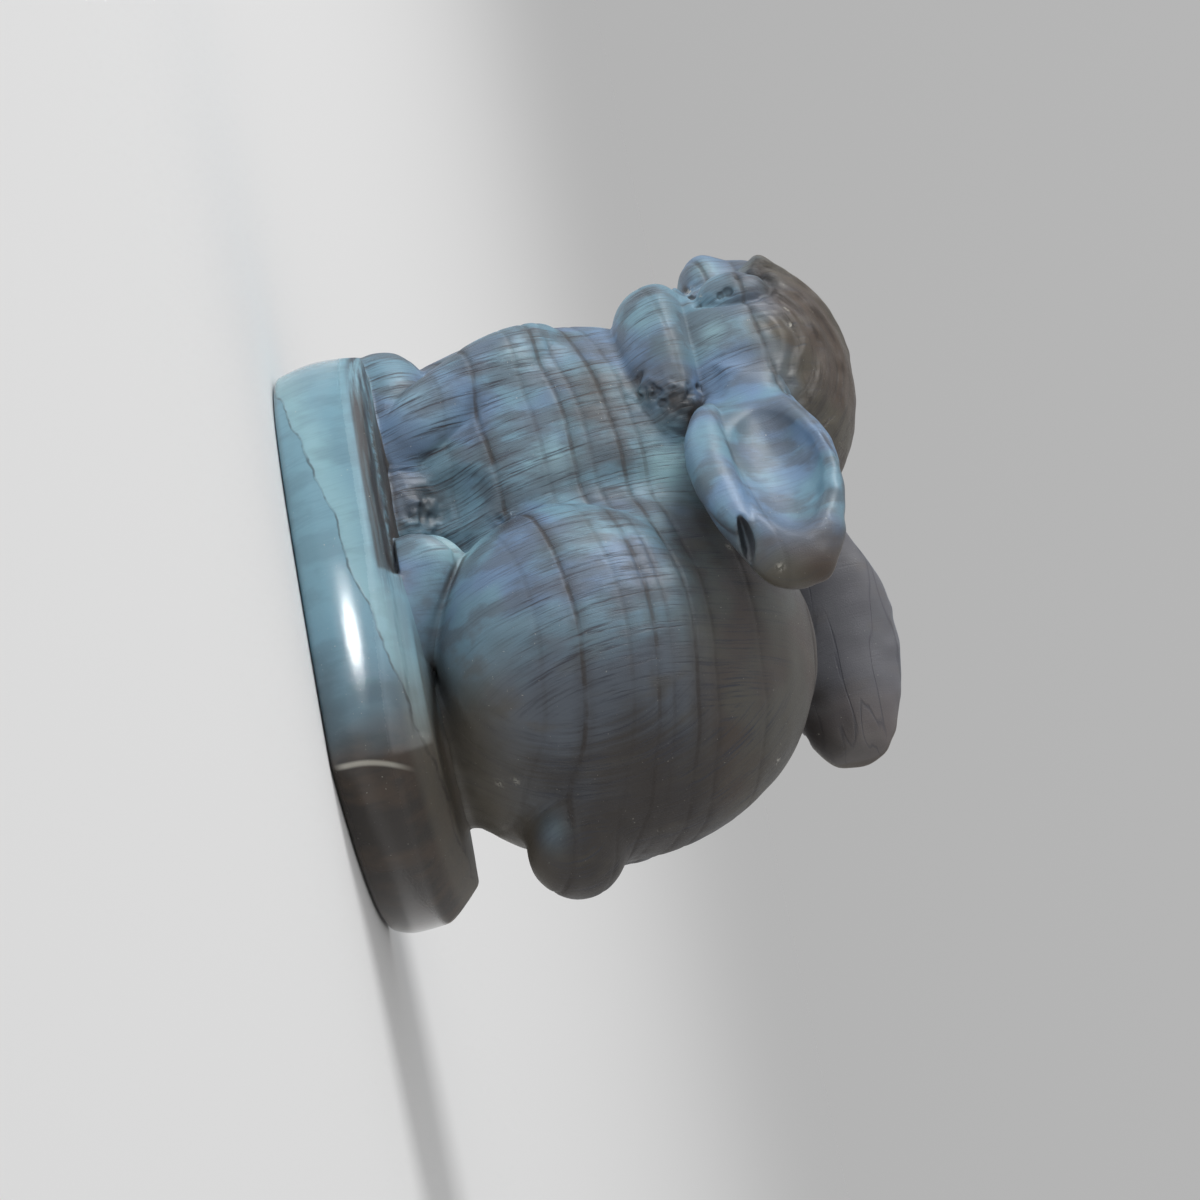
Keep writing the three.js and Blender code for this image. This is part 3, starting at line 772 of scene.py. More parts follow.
# Rough pits: how far back and how high the photograph shows them, and their size
PITS = (
    (-19.2, 33.6, 0.42), (-19.0, 33.0, 0.3), (-19.4, 31.2, 0.5),
    (-18.6, 31.3, 0.3), (-20.0, 34.5, 0.2), (-18.7, 11.0, 0.45),
    (-6.2, 14.4, 0.35),
)
# The rough rear end of a cheek is a curl of small pits: its middle as the photograph shows it, its radius,
# how far in from there the pits reach, its angles below level, and the sizes and number of its pits
CURL_MIDDLE = (-14.6, 28.4)
CURL_RADIUS = 2.6
CURL_INNER_SHARE = 0.55
CURL_ANGLES = (-45, 95)
CURL_SIZES = (0.12, 0.3)
CURL_PITS = 28
CURL_SEED = 9
PIT_ROUNDING = 0.15
# Marks that the photograph shows: how far back, how high, how wide, and how strong. The dark marks are partly
# stains in the stone and partly painted shade and shadow: shade under the ears, under the brow and in the
# recess between foreleg and haunch, and a shadow at the far rear. The pale marks are chips in the stone, and
# the bright ones are painted light
DARK_STAINS_AND_SHADE = (
    (-12.5, 28.5, 1.7, 1.0), (-13.4, 26.6, 1.4, 0.9), (-20.2, 36.2, 0.7, 0.8),
    (-6.1, 14.5, 1.1, 0.95), (-8.6, 9.0, 2.0, 0.9), (-14.2, 20.5, 2.4, 0.3),
    (-14.3, 22.7, 2.6, 0.85), (-16.0, 28.6, 2.2, 0.7), (-18.8, 29.4, 1.4, 0.5),
    (-12.6, 22.3, 1.9, 0.8), (-15.0, 34.4, 1.8, 0.3), (-10.5, 22.8, 2.2, 0.35),
    (-13.2, 8.4, 1.5, 0.4), (-18.6, 11.2, 0.7, 0.8), (10.6, 33.9, 1.2, 0.9),
    (13.2, 32.8, 1.9, 1.0), (15.5, 21.0, 3.8, 0.9), (-8.4, 35.0, 1.6, 0.45),
    (0.0, 30.2, 1.2, 0.3), (-14.4, 25.6, 1.8, 0.65), (-11.4, 25.8, 1.8, 0.7),
    (-14.4, 29.6, 1.6, 0.45), (-11.0, 11.4, 2.4, 0.25),
)
PALE_MARKS = (
    (12.1, 11.4, 0.3, 0.35), (12.0, 10.2, 0.3, 0.4), (14.6, 30.1, 0.25, 0.7),
    (-17.1, 37.5, 0.2, 0.8), (-15.9, 37.5, 0.17, 0.8), (-19.7, 30.9, 0.4, 0.8),
    (-19.2, 31.6, 0.2, 0.6), (1.0, 33.2, 0.25, 0.5), (-1.2, 29.9, 0.25, 0.5),
)
# The bright marks are painted light: patches of the blue flash, a painted sheen, and painted light on shaded
# places below the ears
SHEEN_AND_LIGHT_MARKS = (
    (-16.6, 32.0, 1.4, 0.8), (-18.6, 27.4, 1.7, 0.35), (-7.8, 26.6, 2.2, 1.0),
    (-21.2, 32.2, 1.3, 0.9), (-5.5, 33.0, 2.2, 0.2), (-10.0, 19.0, 2.2, 0.6),
    (-4.9, 26.4, 1.8, 0.5), (-4.9, 19.4, 2.0, 0.3), (-17.8, 18.0, 1.6, 0.5),
    (-5.3, 10.5, 1.8, 1.0), (16.2, 13.2, 1.3, 0.3), (-16.5, 10.5, 1.8, 0.6),
    (-14.8, 11.2, 1.6, 0.4),
)


def marked(points, marks):
    """How strongly points are marked by the nearest of some marks."""
    value = np.zeros(len(points))
    for back, rise, size, strength in marks:
        away = np.linalg.norm(points - seen(back, rise), axis=1)
        value = np.maximum(value, strength * bump(away, 0, size))
    return value


def split_level(points):
    """How high the plane of rock that each point lies in passes through the middle of the block."""
    tilts = np.array([-STRATA_TILT[0], -STRATA_TILT[1], 1.0])
    return points @ tilts + rough(points, SPLIT_WAVER)


def weather():
    """Lays lumps, split planes, rubble and hair on the skin of the block."""
    spots = np.nonzero(np.abs(stone) < SKIN)
    points = np.stack([axis[i] for axis, i in zip(axes, spots)], axis=1)
    x, y, z = points.T
    beside = np.abs(x)
    level = split_level(points)
    splits = sum(SPLIT_DEPTH * strength * bump(level, rise, SPLIT_WIDTH) for rise, strength in STRATA)
    grain = fade(z, *FIGURE_UP) * (rough(points, *LUMPS) + splits)
    crown = fade(z, *CROWN_UP) * fade(beside, *CROWN_SIDE) * fade(y, *CROWN_FRONT)
    round_face = np.hypot(y - head_middle[1] - HAIR_SETBACK, z - head_middle[2])
    wave = np.sin(HAIR_DENSITY * round_face + rough(points, HAIR_WAVER))
    hair = crown * (HAIR_HEIGHT * wave + rough(points, HAIR_LUMPS))
    rubble = marked(points, ROUGH_MARKS) * rough(points, *RUBBLE)
    rim = fade(beside, *RIM_SIDE) * fade(z, *RIM_UP) * rough(points, RIM_LUMPS)
    stone[spots] += grain + hair + rubble + rim


def pit(middle, size):
    """A pit in the surface."""
    spans, (x, y, z) = region(middle, middle, 2 * size)
    hole = egg(y - middle[1], x - middle[0], z - middle[2], (size, size, size))
    stone[spans] = cut(stone[spans], hole, PIT_ROUNDING)


def curl():
    """Places and sizes of the pits of a curl."""
    chance = np.random.default_rng(CURL_SEED)
    angles = np.radians(np.linspace(*CURL_ANGLES, CURL_PITS))
    radii = CURL_RADIUS * chance.uniform(CURL_INNER_SHARE, 1.0, CURL_PITS)
    backs = CURL_MIDDLE[0] + radii * np.cos(angles)
    rises = CURL_MIDDLE[1] - radii * np.sin(angles)
    return list(zip(backs, rises, chance.uniform(*CURL_SIZES, CURL_PITS)))


weather()
chips = [(seen(pit_back, pit_rise), pit_size) for pit_back, pit_rise, pit_size in [*PITS, *curl()]]
for chip_middle, chip_size in chips:
    pit(chip_middle, chip_size)
    pit(chip_middle * MIRROR, chip_size)


# Pieces: the block is cut up by which form is nearest. Each piece dips below the surface past its own edge,
# so that no gap shows where two of them meet.

DIP = 0.25
OVERLAP = 0.5
CREVICE_REACHES = (0.4, 0.9)


def surface_net(field):
    """Points and four-sided faces of the surface where a grid of values changes sign, in grid steps."""
    inside = field < 0
    cells = tuple(n - 1 for n in field.shape)
    corners = sum(
        inside[i : i + cells[0], j : j + cells[1], k : k + cells[2]].astype(np.int8)
        for i, j, k in np.ndindex(2, 2, 2)
    )
    border = (corners > 0) & (corners < 8)
    spots = np.argwhere(border)
    number = np.full(cells, -1, np.int32)
    number[border] = np.arange(len(spots))
    unit = np.eye(3, dtype=int)

    # Each point is the mean of the places where its cell's edges cross the surface
    total = np.zeros((len(spots), 3))
    crossings = np.zeros(len(spots))
    faces = []
    for axis in range(3):
        for shift in np.ndindex(2, 2, 2):
            if shift[axis]:
                continue
            start = field[tuple((spots + shift).T)]
            end = field[tuple((spots + shift + unit[axis]).T)]
            crosses = (start < 0) != (end < 0)
            share = np.where(crosses, start / np.where(crosses, start - end, 1), 0)
            place = np.array(shift) + share[:, None] * unit[axis]
            total += np.where(crosses[:, None], place, 0)
            crossings += crosses
        # Each grid edge that crosses the surface is the middle of a face between four cells
        one, other = unit[(axis + 1) % 3], unit[(axis + 2) % 3]
        edge = np.argwhere(inside != np.roll(inside, -1, axis))
        ring = [edge - one - other, edge - other, edge, edge - one]
        quad = np.stack([number[tuple(cell.T)] for cell in ring], axis=1)
        outward = inside[tuple(edge.T)]
        faces.append(np.where(outward[:, None], quad, quad[:, ::-1]))
    return spots + total / crossings[:, None], np.concatenate(faces)


def lay(mesh, name, values):
    """Keeps one value for each point of a mesh, for its material."""
    mesh.attributes.new(name, "FLOAT", "POINT").data.foreach_set("value", values.astype(np.float32))


def crevice(points, normals):
    """How deep points lie in a crevice, from 0 on an open face to 1 where stone lies close before them."""
    depths = []
    for reach in CREVICE_REACHES:
        gap = sample(stone, points + reach * normals)
        depths.append(1 - np.clip(gap / reach, 0, 1))
    return np.max(depths, axis=0)


def piece(index, node, shape):
    """The closed piece of the block that stands for one node."""
    spans, grid = region(*ends(node), PIECE_REACH)
    rival = np.where(owner[spans] == index, runner_up[spans], nearest[spans])
    past = shape(*grid) - rival
    field = np.maximum(stone[spans] + DIP * np.maximum(past, 0), past / 2 - OVERLAP)
    field[[0, -1]] = field[:, [0, -1]] = field[:, :, [0, -1]] = FAR
    points, faces = surface_net(field)
    points = points * STEP + [axis[span][0] for axis, span in zip(axes, spans)]
    mesh = bpy.data.meshes.new(f"carved_{node}")
    mesh.from_pydata((points * MM).tolist(), [], faces.tolist())
    mesh.shade_smooth()
    normals = np.zeros(len(points) * 3, np.float32)
    mesh.vertex_normals.foreach_get("vector", normals)
    normals = normals.reshape(-1, 3)
    lay(mesh, "crevice", crevice(points, normals))
    lay(mesh, "level", split_level(points))
    # Dark marks: partly stains in the stone, partly painted shade and shadow
    lay(mesh, "dark", marked(points, DARK_STAINS_AND_SHADE))
    lay(mesh, "pale", marked(points, PALE_MARKS))
    # Bright marks: painted sheen and painted light
    lay(mesh, "bright", marked(points, SHEEN_AND_LIGHT_MARKS))
    made = add_object(f"carved_{node}", mesh)
    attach(made, "root")
    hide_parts(node)
    return made


pieces = {node: piece(index, node, shape) for index, (node, shape, _) in enumerate(FORMS)}


# Materials


def arithmetic(operation):
    """A method that adds a node for one kind of arithmetic."""

    def method(self, other=0.0):
        return self.paint.number("ShaderNodeMath", {0: self, 1: other}, operation=operation)

    return method


class Number:
    """A number that shader nodes work out at each point of a surface. Arithmetic with it adds nodes."""

    __add__ = arithmetic("ADD")
    __sub__ = arithmetic("SUBTRACT")
    __mul__ = arithmetic("MULTIPLY")
    __pow__ = arithmetic("POWER")
    __abs__ = arithmetic("ABSOLUTE")
    sign = arithmetic("SIGN")
    at_least = arithmetic("MAXIMUM")

    def __init__(self, paint, socket):
        self.paint = paint
        self.socket = socket

    def __rsub__(self, other):
        return self.paint.number("ShaderNodeMath", {0: other, 1: self}, operation="SUBTRACT")

    def fade(self, start, end, low=0.0, high=1.0):
        """A smooth step from low at start to high at end, which may lie either way."""
        low, high, start, end = (low, high, start, end) if start < end else (high, low, end, start)
        inputs = {"Value": self, "From Min": start, "From Max": end, "To Min": low, "To Max": high}
        return self.paint.number("ShaderNodeMapRange", inputs, "Result", interpolation_type="SMOOTHSTEP")

    def within(self, spans):
        """A hump that rises over the first of two spans and falls over the second."""
        rising, falling = spans
        return self.fade(*rising) * self.fade(*falling)


class Paint:
    """Adds shader nodes to one material or world, each by a short call."""

    def __init__(self, owner):
        owner.use_nodes = True
        self.owner = owner
        self.tree = owner.node_tree
        self.shader = self.tree.nodes.get("Principled BSDF")

    def add(self, kind, inputs, **settings):
        node = self.tree.nodes.new(kind)
        for name, value in settings.items():
            setattr(node, name, value)
        for name, value in inputs.items():
            self.wire(node.inputs[name], value)
        return node

    def wire(self, socket, value):
        value = value.socket if isinstance(value, Number) else value
        if isinstance(value, bpy.types.NodeSocket):
            self.tree.links.new(value, socket)
        else:
            socket.default_value = value

    def number(self, kind, inputs, output=0, **settings):
        return Number(self, self.add(kind, inputs, **settings).outputs[output])

    def parts(self, vector):
        """The three numbers of a vector."""
        return [Number(self, socket) for socket in self.add("ShaderNodeSeparateXYZ", {0: vector}).outputs]

    def vector(self, x=0.0, y=0.0, z=0.0):
        return self.add("ShaderNodeCombineXYZ", {0: x, 1: y, 2: z}).outputs[0]

    def stretch(self, place, by):
        return self.add("ShaderNodeVectorMath", {0: place, 1: by}, operation="MULTIPLY").outputs[0]

    def mix(self, share, a, b):
        """Two colours mixed. The node keeps its colour sockets at these numbers."""
        return self.add("ShaderNodeMix", {0: share, 6: a, 7: b}, data_type="RGBA").outputs[2]

    def kept(self, name):
        """A value that the mesh keeps at its points."""
        return self.number("ShaderNodeAttribute", {}, "Fac", attribute_name=name)

    def noise(self, place, scale, detail=3.0, rough=0.5):
        inputs = {"Vector": place, "Scale": scale, "Detail": detail, "Roughness": rough}
        return self.number("ShaderNodeTexNoise", inputs, "Fac")


def colour(*screen):
    """A colour given as it looks on a screen, from 0 to 255, as the shader takes it."""
    shares = [value / 255 for value in screen]
    return (*[((share + 0.055) / 1.055) ** 2.4 for share in shares], 1.0)


CYAN = colour(118, 157, 173)
ICE = colour(150, 188, 196)
BLUE = colour(102, 132, 165)
STEEL = colour(105, 142, 161)
SLATE = colour(80, 88, 98)
INK = colour(46, 50, 62)
SHADE = colour(52, 47, 43)
OLIVE = colour(80, 75, 64)
SAND = colour(104, 98, 86)
UMBER = colour(72, 60, 50)
BROWN = colour(48, 42, 39)
PEARL = colour(122, 119, 124)
# The pale colour of chips and flecks, also used for the painted highlight along the plinth's creases
CHALK_AND_HIGHLIGHT = colour(205, 202, 190)
REFRACTION = 1.56
CARVED_RELIEF = 0.05
POLISHED_RELIEF = 0.04
# The flash is the stone's blue sheen, painted into its colour
# Where the flash sets in along the block and where it is full, and its least share in dull patches
CARVED_FLASH = (12, -3.5, 0.35)
POLISHED_FLASH = (14, 0, 0.85)
# What stands out past this width counts as farther forward, and clouds shift the border of the flash
FLASH_WIDTH = 8
FLASH_SHIFT = 12
# Upright strands: how dense they are across and along
STRANDS = (1.3, 0.16)
FINE_STRANDS = (5.5, 0.24)
LONG_STRANDS = (2.5, 0.08)
STRANDS_LEAN = 0.18
STRANDS_APART = 50
HAIR_STRANDS = (4.0, 0.7)
HAIR_START = (3.5, 6.5)
CLOUD_DENSITY = 0.16
PATCH_STRETCH = (0.45, 0.45, 0.2)
VEIN_STRETCH = (0.3, 0.05, 0.7)
# Which way the inner side of an ear faces
INNER_FACING = (0.1, -0.4)
# Dark lines: how far from the middle of one its core and its soft edge set in and are full
LINE_CORE = (0.4, 0.05)
LINE_EDGE = (1.2, 0.1)
# Where on the figure the stone changes: each pair says where that sets in and where it is full
WEAK_STREAKS_LOW = (17, 12)
WEAK_STREAKS_REAR = (-2, 3)
# The darker stone to the rear is partly painted shadow, and the paler sand low at the rear partly painted
# light
SHADE_REAR = (17, 24)
SAND_LOW = (15, 9)
SAND_REAR = (6, 13)
DULL_BACK_UP = (23.5, 28)
DULL_BACK_REAR = (-6, 0)
BROWN_CROWN_UP = (32.5, 38)
BROWN_TIP_REAR = (3.5, 10.0)
# The painted shade in grooves is weak to the rear and full to the front over this pair
CREVICE_SHADE_FRONT = (9, 2)
# How far strands shift the border of the shade, and patches that of the brown crown
SHADE_SHIFT = 8
CROWN_SHIFT = 7


class Stone(Paint):
    """Paint that knows where a point of the stone lies, in millimetres, and which way the surface faces."""

    def __init__(self, name):
        super().__init__(bpy.data.materials.new(name))
        metres = self.add("ShaderNodeTexCoord", {}).outputs["Object"]
        self.place = self.stretch(metres, (1 / MM, 1 / MM, 1 / MM))
        self.x, self.y, self.z = self.parts(self.place)
        self.beside = abs(self.x)
        normal = self.add("ShaderNodeNewGeometry", {}).outputs["Normal"]
        facing_x, self.rearward, self.upward = self.parts(normal)
        self.outward = self.x.sign() * facing_x
        self.clouds = self.noise(self.place, CLOUD_DENSITY, 2)
        self.patches = self.noise(self.stretch(self.place, PATCH_STRETCH), 1.0, 5)

    def lengthwise(self):
        """How far back a point lies, less so on what stands out to the side, wavering like a cloud."""
        outside = (self.beside - FLASH_WIDTH).at_least(0)
        return self.y - outside + (self.clouds - 0.5) * FLASH_SHIFT

    def flash(self, back, start, end, least):
        """How strongly the stone flashes, a blue sheen painted into its colour: full in front of the end,
        on faces that look outward or ahead. It falls to the least share in dull patches."""
        facing = self.outward * 0.8 - self.rearward * 0.5
        return back.fade(start, end) * facing.fade(-0.5, 0.45) * self.patches.fade(0.4, 0.56, least, 1.0)

    def strands(self, across, along):
        """Noise drawn out upright, over the sideways faces along the block and over the others across it."""
        lean = self.y + self.z * STRANDS_LEAN
        sideways, others = [
            self.noise(self.vector(run * across, 0, self.z * along), 1.0, 4, 0.65)
            for run in (lean, self.x + STRANDS_APART)
        ]
        share = (abs(self.outward) - abs(self.rearward)).fade(0.15, -0.15)
        return sideways + share * (others - sideways)

    def streaks(self):
        """Fine upright streaks, gathered in strands, and weak low on the haunches."""
        strands = self.strands(*STRANDS)
        fine = self.strands(*FINE_STRANDS).fade(0.46, 0.64)
        gathered = fine * strands.fade(0.38, 0.58, 0.25, 1.0) + strands.fade(0.52, 0.7, 0, 0.5)
        upright = abs(self.upward).fade(0.9, 0.5, 0.15, 1.0)
        low_rear = self.z.fade(*WEAK_STREAKS_LOW) * self.y.fade(*WEAK_STREAKS_REAR)
        return gathered * upright * (1.0 - low_rear * 0.7)

    def hair(self):
        """Fine dark strands that run round the crown."""
        flat = self.stretch(self.place, (0, 1, 1))
        middle = (0, head_middle[1] + HAIR_SETBACK, head_middle[2])
        away = self.number("ShaderNodeVectorMath", {0: flat, 1: middle}, "Value", operation="DISTANCE")
        drawn = self.vector(away * HAIR_STRANDS[0], self.x * HAIR_STRANDS[1])
        return self.noise(drawn, 1.0, 5, 0.7).fade(0.46, 0.62) * away.fade(*HAIR_START)

    def veins(self):
        """Thin dark lines along the block."""
        off = abs(self.noise(self.stretch(self.place, VEIN_STRETCH), 1.0, 2, 0.4) - 0.5)
        return off.fade(0.03, 0.0) * self.clouds.fade(0.4, 0.55, 0.3, 1.0)

    def bands(self):
        """Dark lines with soft edges along the planes that the rock splits along."""
        level = self.kept("level")
        bands = None
        for rise, strength in STRATA:
            off = abs(level - rise)
            edge = off.fade(*LINE_EDGE, 0, 0.5 * strength)
            band = off.fade(*LINE_CORE, 0, strength).at_least(edge)
            bands = bands.at_least(band) if bands else band
        return bands * self.noise(self.place, 0.5, 4).fade(0.35, 0.6, 0.35, 1.0)

    def stains_and_shade(self, base):
        """A colour darkened where the stone is stained and where shade is painted, with painted shade in its
        grooves, flecks and pale chips.
        """
        # Dark marks: partly stains, partly painted shade under the ears, under the brow and in the recess,
        # and painted shadow at the far rear
        base = self.mix(self.kept("dark") * 0.85, base, BROWN)
        # Painted shade: grooves darken where stone lies close before them, less so to the rear
        crevice_shade = self.kept("crevice").fade(0.25, 0.95, 0, 0.8) * self.y.fade(*CREVICE_SHADE_FRONT, 0.25, 1.0)
        base = self.mix(crevice_shade, base, BROWN)
        flecks = self.noise(self.place, 5.0, 1).fade(0.75, 0.82, 0, 0.35)
        base = self.mix(flecks, base, CHALK_AND_HIGHLIGHT)
        ragged = self.noise(self.place, 4.0, 3).fade(0.44, 0.54)
        return self.mix(self.kept("pale") * ragged, base, CHALK_AND_HIGHLIGHT)

    def finish(self, base, gloss, depth, relief):
        """Colour, gloss and relief given to the shader. The relief is in millimetres."""
        bump_node = self.add("ShaderNodeBump", {"Distance": relief * MM, "Height": depth})
        self.wire(self.shader.inputs["Base Color"], base)
        self.wire(self.shader.inputs["Roughness"], gloss)
        self.wire(self.shader.inputs["Normal"], bump_node.outputs["Normal"])
        self.shader.inputs["IOR"].default_value = REFRACTION
        return self.owner


def dull_stone(paint, back, brown):
    """Grey stone, darker to the rear, which is partly painted shadow, with patches of olive and brown where
    it is dulled, and paler sand low at the rear, partly painted light.
    """
    streaked_back = back + paint.strands(*LONG_STRANDS) * SHADE_SHIFT
    # Darker to the rear, partly as painted shadow
    dull = paint.mix(streaked_back.fade(*SHADE_REAR), SLATE, SHADE)
    # Paler sand low at the rear: partly the stone's own olive-brown, partly painted light in place of light
    # thrown onto it from close by
    low_rear = paint.z.fade(*SAND_LOW, 0, 0.8) * paint.y.fade(*SAND_REAR)
    dull = paint.mix(low_rear, dull, SAND)
    dull = paint.mix(paint.patches.fade(0.5, 0.7, 0, 0.5), dull, OLIVE)
    return paint.mix(brown, dull, paint.mix(paint.clouds.fade(0.42, 0.6), OLIVE, UMBER))


def carved_stone(name, dulled, streaky, combed=0.0, veined=0.0):
    """The carved figure: blue flash, a painted sheen, on grey, darker to the rear, partly as painted shadow,
    and brown where the stone is dulled.
    Streaky, combed and veined are the strengths of its streaks, of the hair on its brown stone and of the
    veins on its inner sides."""
    paint = Stone(name)
    back = paint.lengthwise()
    brown = dulled(paint)
    # Painted light: the bright marks add painted sheen, and painted light on shaded places below the ears
    bright = paint.kept("bright")
    flash = (paint.flash(back, *CARVED_FLASH) * (1.0 - brown)).at_least(bright)
    glow = paint.mix(paint.clouds.fade(0.44, 0.6), STEEL, BLUE)
    glow = paint.mix(bright * 0.75, glow, ICE)
    base = paint.mix(flash, dull_stone(paint, back, brown), glow)
    streaks = paint.streaks() * streaky
    bands = paint.bands()
    base = paint.mix(streaks, base, INK)
    base = paint.mix(bands * 0.85, base, BROWN)
    depth = streaks * -0.5 - bands * 0.6
    if combed:
        hair = paint.hair() * brown * combed
        base = paint.mix(hair, base, BROWN)
        depth = depth - hair
    if veined:
        inner = paint.outward.fade(*INNER_FACING)
        veins = paint.veins() * inner * veined
        base = paint.mix(inner * 0.4, base, PEARL)
        base = paint.mix(veins, base, INK)
        depth = depth - veins * 0.8
    grain = paint.noise(paint.place, 9.0, 3)
    gloss = grain.fade(0.3, 0.7, 0.40, 0.54) + bands * 0.2
    return paint.finish(paint.stains_and_shade(base), gloss, depth + grain * 0.3, CARVED_RELIEF)


def dull_back(paint):
    """The back is dull above the haunches."""
    return paint.z.fade(*DULL_BACK_UP) * paint.y.fade(*DULL_BACK_REAR, 0, 0.8)


def dull_crown(paint):
    """The crown is brown, with an uneven border."""
    return (paint.z + (paint.patches - 0.5) * CROWN_SHIFT).fade(*BROWN_CROWN_UP)


def dull_ear(paint):
    """The tip of an ear is brown, and its inner side a little."""
    return paint.outward.fade(*INNER_FACING, 0, 0.25).at_least(paint.y.fade(*BROWN_TIP_REAR))


# Marks on the plinth, where a pair of spans says how a mark fades in and how it fades out

# The thin layer: how high it lies, how it rises to the rear and wavers, where its line sets in beside its
# middle and is full, and the paler stone above it
THIN_LAYER_RISE = 3.6
THIN_LAYER_TILT = 0.2
THIN_LAYER_WAVER = 1.6
THIN_LAYER_LINE = (0.14, 0.02)
ABOVE_THIN_LAYER = ((-0.05, 0.05), (2.6, 0.4))
LEDGE_UP = (BAND_HEIGHT + 0.1, BAND_HEIGHT + 0.9)
WORN_UP = (BAND_HEIGHT - 0.5, BAND_HEIGHT + 0.5)
STEEL_REAR = (-8, 10)
BED_STRETCH = (0.16, 0.16, 2.6)
BEDS_FRONT = (5, 1)
BOARD_UP = ((5.6, 5.8), (6.7, 6.5))
BOARD_ALONG = ((-16, -11), (2.6, 2.2))
TORN_UP = (6.6, 6.9)
TORN_WAVER = 1.2
TORN_ALONG = ((-15, -10), (3, 1))
# The painted highlight along the crease at a rear corner, a pale line: the way back it is measured, its
# place, and how it bends above its foot
CREASE_DIRECTION = (0.866, -0.5)
CREASE_BACK = 8.1
CREASE_FOOT = 1.6
CREASE_BEND = 0.08
CREASE_LINE = (0.3, 0.05)
CREASE_REAR = (12, 15)
CREASE_UP = ((0, 1.2), (5.8, 4.0))


def thin_layer(paint):
    """How far points lie above the thin layer, which wavers."""
    waver = (paint.noise(paint.place, 0.25, 3) - 0.5) * THIN_LAYER_WAVER
    return paint.z - paint.y * THIN_LAYER_TILT + waver - THIN_LAYER_RISE


def ledge_stone(paint, ledge, base):
    """The ledge above the polished band, with dark beds, a darker board and painted shade along the ragged
    groove below the forelegs.
    """
    beds = paint.noise(paint.stretch(paint.place, BED_STRETCH), 1.0, 4, 0.6).fade(0.36, 0.6, 0.1, 0.9)
    base = paint.mix(ledge * beds * paint.y.fade(*BEDS_FRONT, 0.15, 1.0), base, INK)
    board = paint.z.within(BOARD_UP) * paint.y.within(BOARD_ALONG)
    base = paint.mix(board * 0.7, base, BROWN)
    # Painted shade: a ragged dark line along the groove below the forelegs
    ragged = (paint.noise(paint.place, 1.2, 4, 0.7) - 0.5) * TORN_WAVER
    torn_shade = (paint.z + ragged).fade(*TORN_UP) * paint.y.within(TORN_ALONG)
    return paint.mix(torn_shade * 0.85, base, BROWN)


def crease_highlight(paint):
    """How strongly a pale painted highlight runs along the crease at each rear corner."""
    along, across = CREASE_DIRECTION
    bend = (paint.z - CREASE_FOOT).at_least(0) ** 2 * CREASE_BEND
    away = abs(paint.y * along + paint.beside * across - CREASE_BACK - bend)
    return away.fade(*CREASE_LINE, 0, 0.6) * paint.y.fade(*CREASE_REAR) * paint.z.within(CREASE_UP)


def polished_stone():
    """The plinth: a bright blue flash, a painted sheen, to the front and olive behind its crease, with a
    painted highlight along the crease and a worn ledge above.
    """
    paint = Stone("polished labradorite")
    back = paint.lengthwise()
    ledge = paint.z.fade(*LEDGE_UP)
    layer = thin_layer(paint)
    line = abs(layer).fade(*THIN_LAYER_LINE)
    dull = paint.mix(paint.patches.fade(0.4, 0.65), SHADE, UMBER)
    dull = paint.mix(ledge * 0.6, dull, SAND)
    glow = paint.mix(back.fade(*STEEL_REAR), CYAN, STEEL)
    glow = paint.mix(layer.within(ABOVE_THIN_LAYER) * 0.6, glow, ICE)
    # The flash and the bright marks are painted sheen
    flash = paint.flash(back, *POLISHED_FLASH).at_least(paint.kept("bright"))
    base = paint.mix(flash, dull, glow)
    base = paint.mix(paint.streaks() * 0.08, base, INK)
    broken = paint.noise(paint.place, 0.6, 3).fade(0.4, 0.6, 0.2, 0.6)
    base = paint.mix(line * broken, base, BROWN)
    base = ledge_stone(paint, ledge, base)
    # Painted highlight: a pale line along each rear crease
    base = paint.mix(crease_highlight(paint), base, CHALK_AND_HIGHLIGHT)
    grain = paint.noise(paint.place, 6.0, 3)
    past = paint.z + paint.y.at_least(0) * BAND_TILT
    gloss = grain.fade(0.3, 0.7, 0.08, 0.15) + past.fade(*WORN_UP, 0, 0.5)
    return paint.finish(paint.stains_and_shade(base), gloss, grain * 0.15 - line * 0.4, POLISHED_RELIEF)


head_stone = carved_stone("head labradorite", dull_crown, streaky=0.6, combed=0.6)
body_stone = carved_stone("body labradorite", dull_back, streaky=0.8)
own_stones = {
    "plinth": polished_stone(),
    "head": head_stone,
    "cheek": head_stone,
    "ear": carved_stone("ear labradorite", dull_ear, streaky=0.2, veined=0.45),
}
for node_name, made_piece in pieces.items():
    made_piece.data.materials.append(own_stones.get(form_of(node_name), body_stone))


# Stage: a pale floor under soft light, in one tone with what lies behind it

FLOOR_RADIUS = 6.0
FLOOR_TONE = 0.80
CEILING_LIGHT = 0.62
# A floor under light that grows evenly from the horizon to the ceiling is as bright as this horizon
HORIZON_LIGHT = CEILING_LIGHT * (2 / 3 * FLOOR_TONE) / (1 - FLOOR_TONE / 3)
FLOOR_CORNERS = 64
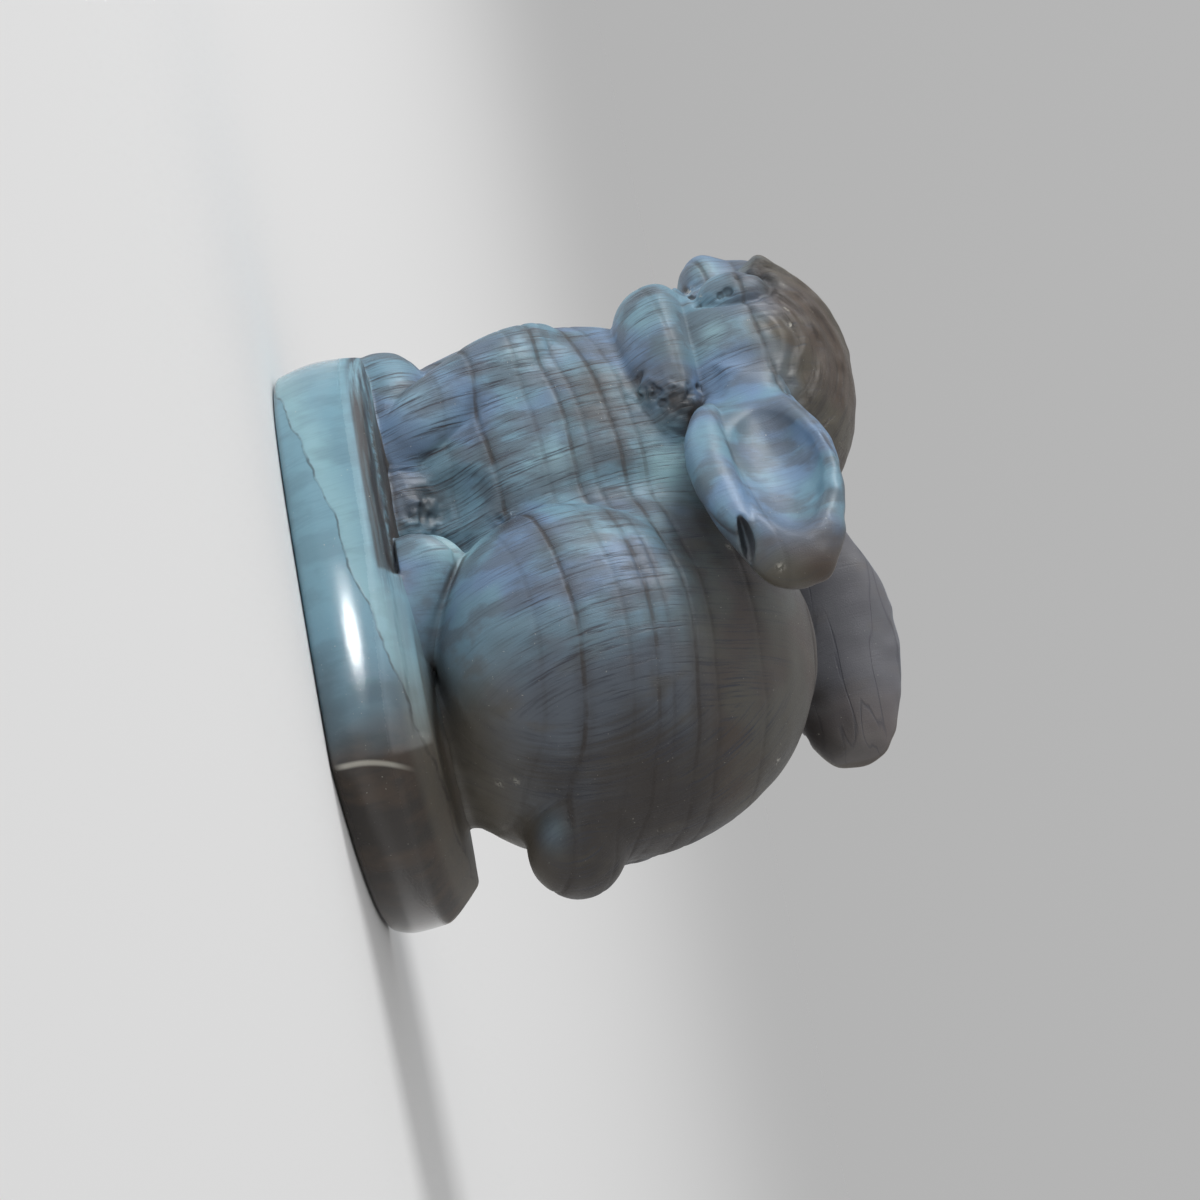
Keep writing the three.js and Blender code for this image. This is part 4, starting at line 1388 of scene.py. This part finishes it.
# A large light from the front, and a small card that gives the plinth its highlight
KEY_PLACE = (0.45, -0.75, 0.55)
KEY_SIZE = (0.4, 0.4)
KEY_POWER = 7.0
CARD_PLACE = (0.45, -0.19, 0.03)
CARD_SIZE = (0.035, 0.03)
CARD_POWER = 0.0025
CARD_SPREAD = math.radians(16)


def make_floor():
    turns = np.linspace(0, 2 * math.pi, FLOOR_CORNERS, endpoint=False)
    corners = [(FLOOR_RADIUS * math.cos(turn), FLOOR_RADIUS * math.sin(turn), 0) for turn in turns]
    mesh = bpy.data.meshes.new("floor")
    mesh.from_pydata(corners, [], [range(FLOOR_CORNERS)])
    floor = add_object("floor", mesh)
    paint = Paint(bpy.data.materials.new("pale floor"))
    paint.shader.inputs["Base Color"].default_value = (FLOOR_TONE, FLOOR_TONE, FLOOR_TONE, 1)
    paint.shader.inputs["Roughness"].default_value = 1.0
    paint.shader.inputs["Specular IOR Level"].default_value = 0.0
    mesh.materials.append(paint.owner)


def make_room():
    world = bpy.data.worlds.new("studio")
    paint = Paint(world)
    _, _, rise = paint.parts(paint.add("ShaderNodeTexCoord", {}).outputs["Generated"])
    inputs = {"Value": rise, "To Min": HORIZON_LIGHT, "To Max": CEILING_LIGHT}
    background = paint.tree.nodes["Background"]
    paint.wire(background.inputs["Strength"], paint.number("ShaderNodeMapRange", inputs, "Result"))
    background.inputs["Color"].default_value = (1, 1, 1, 1)
    bpy.context.scene.world = world


def make_light(name, place, size, power, spread=math.pi):
    """A soft rectangle of light that faces the object, and is seen only in what it lights."""
    data = bpy.data.lights.new(name, "AREA")
    data.shape = "RECTANGLE"
    data.energy = power
    data.size, data.size_y = size
    data.spread = spread
    light = add_object(name, data)
    light.location = place
    light.rotation_mode = "QUATERNION"
    light.rotation_quaternion = (TARGET - Vector(place)).to_track_quat("-Z", "Y")
    light.visible_camera = False


bpy.context.scene.view_settings.view_transform = "Standard"
make_floor()
make_room()
make_light("key", KEY_PLACE, KEY_SIZE, KEY_POWER)
make_light("card", CARD_PLACE, CARD_SIZE, CARD_POWER, CARD_SPREAD)
